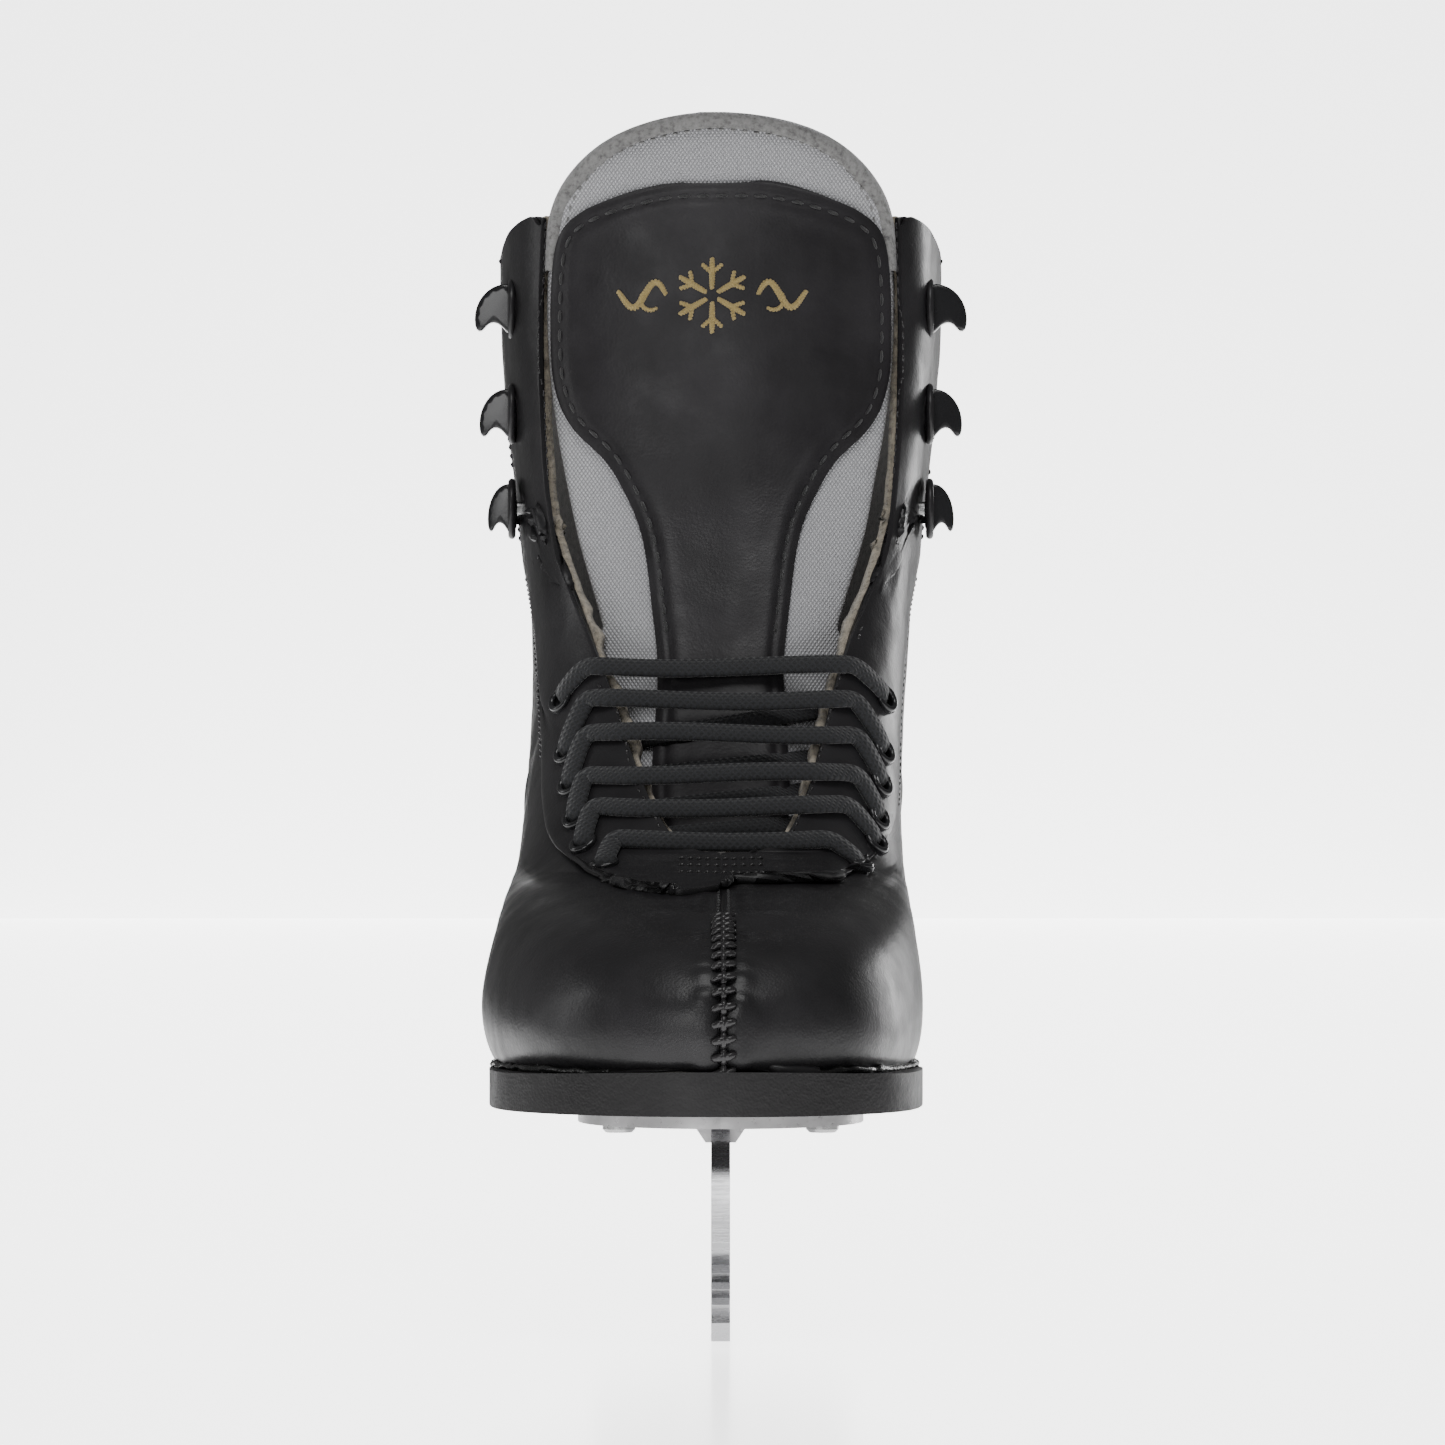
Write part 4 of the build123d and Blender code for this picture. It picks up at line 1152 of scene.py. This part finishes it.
# The bar of close stitches below the throat.
for k in range(3):
    z = THROAT_FOOT - 1.6 - 1.4 * k
    bar = on_front(facing_surface, [(x, z + 0.02 * abs(x)) for x in np.arange(-9.5, 9.8, 0.8)])
    if len(bar) > 3:
        stitch_run(f"throat_bar_{k}", bar, facing_surface, UP_AHEAD, 1.7, 1.4, 0.42, finish="cord")

# ---------------- eyelets and hooks
def ring(points, faces, centre, normal, radius, tube, around=28, sides=10):
    side = normal.orthogonal().normalized()
    other = normal.cross(side)
    base = len(points)
    for i in range(around):
        turn = 2 * math.pi * i / around
        out = side * math.cos(turn) + other * math.sin(turn)
        for k in range(sides):
            roll = 2 * math.pi * k / sides
            points.append(centre + out * (radius + tube * math.cos(roll))
                          + normal * tube * math.sin(roll))
    for i in range(around):
        n = (i + 1) % around
        for k in range(sides):
            m = (k + 1) % sides
            here, there = base + i * sides, base + n * sides
            faces.append((here + k, there + k, there + m, here + m))


rim_points, rim_faces, eyelet_spots = [], [], []
for centre in eyelet_centres:
    side = 1 if centre.x > 0 else -1
    spot, normal = settle(facing_skin, centre + Vector((0, -6, 3)), Vector((0, -0.8, 0.6)))
    place, aimed = cast(facing_skin, centre + normal * 20, -normal)
    spot = place if place else spot
    on_top = centre + normal * (spot - centre).dot(normal)
    ring(rim_points, rim_faces, on_top + normal * 0.35, normal, 2.65, 0.72)
    eyelet_spots.append((on_top, normal))
finish_piece(new_mesh("eyelet_rims", rim_points, rim_faces), "hardware")

# A hook from the front: out from the facing, then up, as a rounded fin whose tip turns down.
FIN = ((-1.5, 5.6), (1.6, 6.0), (4.4, 5.2), (6.8, 3.2), (8.3, 0.4), (8.7, -2.6), (8.3, -5.2),
       (6.9, -5.6), (6.0, -4.2), (4.8, -3.2), (3.2, -3.4), (1.8, -4.6), (0.8, -6.0), (-1.5, -6.2))
FIN_HALF = ((-3.0, 0.62), (-2.7, 0.88), (-1.6, 1.0), (1.6, 1.0), (2.7, 0.88), (3.0, 0.62))
fin_points, fin_faces, pucker_points, pucker_faces = [], [], [], []
for shape in hook_shapes:
    low_corner, high_corner = shape.min(axis=0), shape.max(axis=0)
    side = 1 if low_corner[0] > 0 else -1
    middle_y, middle_z = (low_corner[1] + high_corner[1]) / 2, (low_corner[2] + high_corner[2]) / 2
    place, normal = cast(facing_skin, (side * FAR_OUT, middle_y, middle_z), (-side, 0, 0))
    if place is None:
        place, normal = Vector((side * 49, middle_y, middle_z)), Vector((side, 0, 0))
    reach = max(abs(low_corner[0]), abs(high_corner[0])) - abs(place.x)
    stretch = reach / 8.4
    base = len(fin_points)
    for offset, swell in FIN_HALF:
        for out, up in FIN:
            tuck = out if out < 0 else out * (0.9 + 0.1 * swell) * stretch
            fin_points.append((place.x + side * tuck, middle_y + offset * (1 - 0.03 * max(out, 0)),
                               middle_z + up * (0.8 + 0.2 * swell)))
    sides = len(FIN)
    fin_faces += [tuple(base + k for k in f) for f in grid_faces(len(FIN_HALF), sides, wrap=True)]
    fin_faces.append(tuple(base + k for k in reversed(range(sides))))
    fin_faces.append(tuple(base + (len(FIN_HALF) - 1) * sides + k for k in range(sides)))
    ring(rim_points, rim_faces, place, normal, 5.2, 0.5)
    ring(pucker_points, pucker_faces, place - normal * 0.1, normal, 6.3, 0.85, 40)
fins = new_mesh("hook_fins", fin_points, fin_faces)
refine(fins, 1)
finish_piece(fins, "hardware", replaced=["lace_hooks"])
finish_piece(new_mesh("hook_puckers", pucker_points, pucker_faces), "facing")

# ---------------- lace
LACE_WIDTH, LACE_THICK = 5.0, 1.3
medial_eyelets = sorted([e for e in eyelet_spots if e[0].x > 0], key=lambda e: e[0].z)
lateral_eyelets = sorted([e for e in eyelet_spots if e[0].x < 0], key=lambda e: e[0].z)
lace_skin = skin("lace")
bar_heights, z = [], 103.0
while z < 152:
    place, _ = cast(lace_skin, (0, -FAR_OUT, z), (0, 1, 0))
    if place:
        top = z
        while cast(lace_skin, (0, -FAR_OUT, top + 0.2), (0, 1, 0))[0]:
            top += 0.2
        ahead = cast(lace_skin, (0, -FAR_OUT, (z + top) / 2), (0, 1, 0))[0].y
        throat_face = cast(cover_surface, (0, -FAR_OUT, (z + top) / 2), (0, 1, 0))[0]
        bar_heights.append(((z + top) / 2, ahead, throat_face.y if throat_face else ahead))
        z = top + 1.0
    z += 0.2
bar_heights = sorted(bar_heights, key=lambda b: b[2] - b[1], reverse=True)[:6]
bars = sorted(b[0] for b in bar_heights)


def nearest_front(x, z, *trees):
    ys = [h.y for h in (cast(t, (x, -FAR_OUT, z), (0, 1, 0))[0] for t in trees) if h]
    return min(ys) if ys else None


def taut(points):
    """Keeps only the points that a stretched lace touches, going from one side to the other in x."""
    hull = []
    for p in points:
        while len(hull) > 1:
            a, b = hull[-2:]
            if (b[1] - a[1]) * (p[0] - a[0]) < (p[1] - a[1]) * (b[0] - a[0]):
                break
            hull.pop()
        hull.append(p)
    return hull


LACE_LIFT = 1.2            # the lace's middle above what it lies on
SLOPE = Vector((0, -0.76, 0.65))


def resting(x, z):
    """A point of the lace on the facing, and the way the lace faces there."""
    place, normal = cast(outer_surface, (x, -FAR_OUT, z), (0, 1, 0))
    if place is None:
        return None
    normal = (normal + SLOPE * 0.6).normalized()
    return place + normal * LACE_LIFT, normal


def cross_bar(name, lateral, medial, z, shoulder):
    """One lace crossing: out of one eyelet, over the facing, straight across and back in."""
    ends = []
    for side, (spot, way) in ((-1, lateral), (1, medial)):
        run = [(spot - way * 3.0, way), (spot + way * 0.6, way)]
        for t in (0.3, 0.55, 0.8):
            found = resting(spot.x + (side * shoulder - spot.x) * t, spot.z + (z - spot.z) * t)
            if found:
                run.append(found)
        ends.append(run)
    samples = []
    for x in np.arange(-shoulder, shoulder + 0.1, 1.5):
        y = nearest_front(x, z, outer_surface, cover_surface, pad_surface)
        if y is not None and y < 20:
            samples.append((x, y - LACE_LIFT / 0.76))
    hull = taut(samples)
    xs = np.linspace(-shoulder, shoulder, 44)
    ys = np.interp(xs, [p[0] for p in hull], [p[1] for p in hull])
    middle = [(Vector((x, y, z + 0.5 * math.sin(x * 0.09 + z))), SLOPE) for x, y in zip(xs, ys)]
    both = ends[0] + middle + ends[1][::-1]
    line = smooth_line(resample([list(p) for p, _ in both], 110), 5)
    steps = np.cumsum([0] + [(b[0] - a[0]).length for a, b in zip(both, both[1:])])
    ways = np.array([list(way) for _, way in both])
    at = np.linspace(0, steps[-1], 110)
    ways = smooth_line(np.stack([np.interp(at, steps, ways[:, k]) for k in range(3)], axis=1), 8)
    return ribbon(name, line, [Vector(w) for w in ways], LACE_WIDTH, LACE_THICK)


SHOULDER = 30.0
for k, z in enumerate(bars):
    (start, _), (end, _) = lateral_eyelets[k], medial_eyelets[k]
    shoulder = min(SHOULDER, abs(start.x) - 2.5, abs(end.x) - 2.5)
    cross_bar(f"lace_bar_{k + 1}", lateral_eyelets[k], medial_eyelets[k], z, shoulder)

# Inside the boot the lace rises from each lateral eyelet to the next medial one.
for k in range(5):
    (start, start_way), (end, end_way) = lateral_eyelets[k], medial_eyelets[k + 1]
    line = [start - start_way * 2.0, start - start_way * 6.4]
    for t in np.linspace(0.12, 0.88, 18):
        x, height = start.x + (end.x - start.x) * t, start.z + (end.z - start.z) * t
        y = nearest_front(x, height, cover_surface, pad_surface)
        if y is not None and abs(x) < 27:
            line.append(Vector((x, y - 0.9, height)))
    line += [end - end_way * 6.4, end - end_way * 2.0]
    even = smooth_line(resample([list(p) for p in line], 70), 5)
    faces_out = [Vector((0, -0.8, 0.6))] * len(even)
    ribbon(f"lace_run_{k + 1}", even, faces_out, LACE_WIDTH, LACE_THICK)

# The tails hang down inside the boot and lie on the footbed, as (x, y, z) from eyelet to aglet.
MEDIAL_TAIL = [(32.5, -63, 84.0), (31.5, -69, 75.0), (27, -57, 66.4), (21, -35, 66.6), (20, -11, 71.8)]
LATERAL_TAIL = [(-35.5, 24, 126.0), (-34.5, 36, 111.0), (-31, 47, 98.0),
                (-24, 60, 92.4), (-18, 77, 95.8), (-16, 93, 97.6)]
for name, tail, (spot, way) in (
    ("lace_tail_medial", MEDIAL_TAIL, medial_eyelets[0]),
    ("lace_tail_lateral", LATERAL_TAIL, lateral_eyelets[5]),
):
    line = [list(spot - way * 2.0), list(spot - way * 7.0)] + [list(p) for p in tail]
    even = smooth_line(resample(line, 60), 6)
    inwards = 0.5 if tail[0][0] < 0 else -0.5
    ribbon(name, even, [Vector((inwards, 0, 0.87))] * 60, 3.2, 1.6)
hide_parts("lace")

# ---------------- glue line where the upper meets the sole
for side in SIDES:
    first = uppers[side][1]
    line = smooth_line(resample(first, 260), 4)
    glue = []
    for i, p in enumerate(line):
        way = Vector(line[min(i + 1, 259)] - line[max(i - 1, 0)])
        out = way.cross(Vector((0, 0, 1))).normalized()
        if out.dot(Vector((side, 0, 0)) if abs(p[0]) > 8 else Vector((0, p[1], 0))) < 0:
            out = -out
        glue.append(Vector(p) + out * 0.4 + Vector((0, 0, 0.3 + 0.4 * ripple(p, 6, 3))))
    bead(f"glue_{'medial' if side > 0 else 'lateral'}", glue, 0.75, 0.7, "glue")

# ---------------- CAD pieces that stay, in better materials
KEPT = {
    "backstay": "upper", "toe_puff": "suede", "heel_counter": "suede", "quarter_padding": "suede",
    "lining": "suede", "collar_binding": "binding", "shank": "plate", "insole_board": "board",
    "footbed": "footbed", "tongue_pad_lower": "mesh", "tongue_pad_upper": "mesh",
    "tongue_cover_lower": "cover", "tongue_cover_upper": "cover", "tongue_lining_lower": "suede",
    "tongue_lining_upper": "suede", "eyelets": "hardware", "lace_hooks": "hardware",
    "hook_rivets": "screws", "lace": "lace", "aglets": "plastic", "outsole": "sole",
    "heel_block": "heel", "heel_lift": "heel", "blade": "blade", "sole_plate": "plate",
    "heel_plate": "plate", "sole_plate_screws": "screws", "heel_plate_screws": "screws",
}
for node, finish in KEPT.items():
    if not nodes[node].hide_render:
        paint(nodes[node], finish)

# ---------------- stage, lights and camera
CAMERA_AHEAD = 1.6         # the camera stands this far in front of the sole's tip, in metres
CAMERA_HEIGHT = 0.131
CAMERA_LENS = 190.3

floor_mesh = bpy.data.meshes.new("floor")
floor_corners = [(-0.35, -0.45, 0), (0.35, -0.45, 0), (0.55, 3.42, 0), (-0.55, 3.42, 0)]
floor_mesh.from_pydata(floor_corners, [], [(0, 1, 2, 3)])
floor = bpy.data.objects.new("floor", floor_mesh)
bpy.context.scene.collection.objects.link(floor)
floor.location.z = -0.0008
floor_finish = material("pale floor", (0.93, 0.93, 0.93), 0.18)
glow = floor_finish.node_tree.nodes["Principled BSDF"]
glow.inputs["Emission Color"].default_value = (1, 1, 1, 1)
glow.inputs["Emission Strength"].default_value = 2.2
floor_mesh.materials.append(floor_finish)

ground_mesh = bpy.data.meshes.new("ground")
ground_mesh.from_pydata([(-6, -6, 0), (6, -6, 0), (6, 6, 0), (-6, 6, 0)], [], [(0, 1, 2, 3)])
ground = bpy.data.objects.new("ground", ground_mesh)
bpy.context.scene.collection.objects.link(ground)
ground.location.z = -0.0015
ground_mesh.materials.append(material("pale ground", (0.8, 0.8, 0.8), 0.5))

backdrop_mesh = bpy.data.meshes.new("backdrop")
screen_corners = [(-0.55, 3.4, -0.01), (0.55, 3.4, -0.01), (0.55, 3.4, 0.75), (-0.55, 3.4, 0.75)]
backdrop_mesh.from_pydata(screen_corners, [], [(0, 1, 2, 3)])
backdrop = bpy.data.objects.new("backdrop", backdrop_mesh)
bpy.context.scene.collection.objects.link(backdrop)
screen = material("white screen", (0.9, 0.9, 0.9), 1.0)
shine = screen.node_tree.nodes["Principled BSDF"]
shine.inputs["Emission Color"].default_value = (1, 1, 1, 1)
shine.inputs["Emission Strength"].default_value = 3.4
backdrop_mesh.materials.append(screen)

world = bpy.data.worlds.new("studio")
bpy.context.scene.world = world
world.use_nodes = True
world.node_tree.nodes["Background"].inputs["Color"].default_value = (1, 1, 1, 1)
world.node_tree.nodes["Background"].inputs["Strength"].default_value = 0.18


def area_light(name, place, target, size, power, spread=180):
    lamp = bpy.data.lights.new(name, "AREA")
    lamp.shape = "RECTANGLE"
    lamp.size, lamp.size_y = size
    lamp.energy = power
    lamp.spread = math.radians(spread)
    made = bpy.data.objects.new(name, lamp)
    bpy.context.scene.collection.objects.link(made)
    made.location = place
    made.rotation_euler = (Vector(target) - Vector(place)).to_track_quat("-Z", "Y").to_euler()


middle = (0, 0, 0.14)
area_light("medial strip", (1.0, 1.25, 0.25), middle, (0.22, 0.7), 7)
area_light("lateral strip", (-1.3, 0.1, 0.5), middle, (0.25, 0.9), 3)
area_light("overhead", (0.1, -0.7, 1.45), middle, (0.9, 0.7), 12)
area_light("front fill", (-0.5, -1.9, 0.55), middle, (0.7, 0.7), 9)

camera_data = bpy.data.cameras.new("camera")
camera_data.lens = CAMERA_LENS
camera_data.sensor_width = 36
camera_data.clip_end = 50
camera_data.dof.use_dof = False
camera = bpy.data.objects.new("camera", camera_data)
bpy.context.scene.collection.objects.link(camera)
camera.location = (0.0004, TOE_Y * MM - CAMERA_AHEAD, CAMERA_HEIGHT)
camera.rotation_euler = (math.pi / 2, 0, 0)
bpy.context.scene.camera = camera
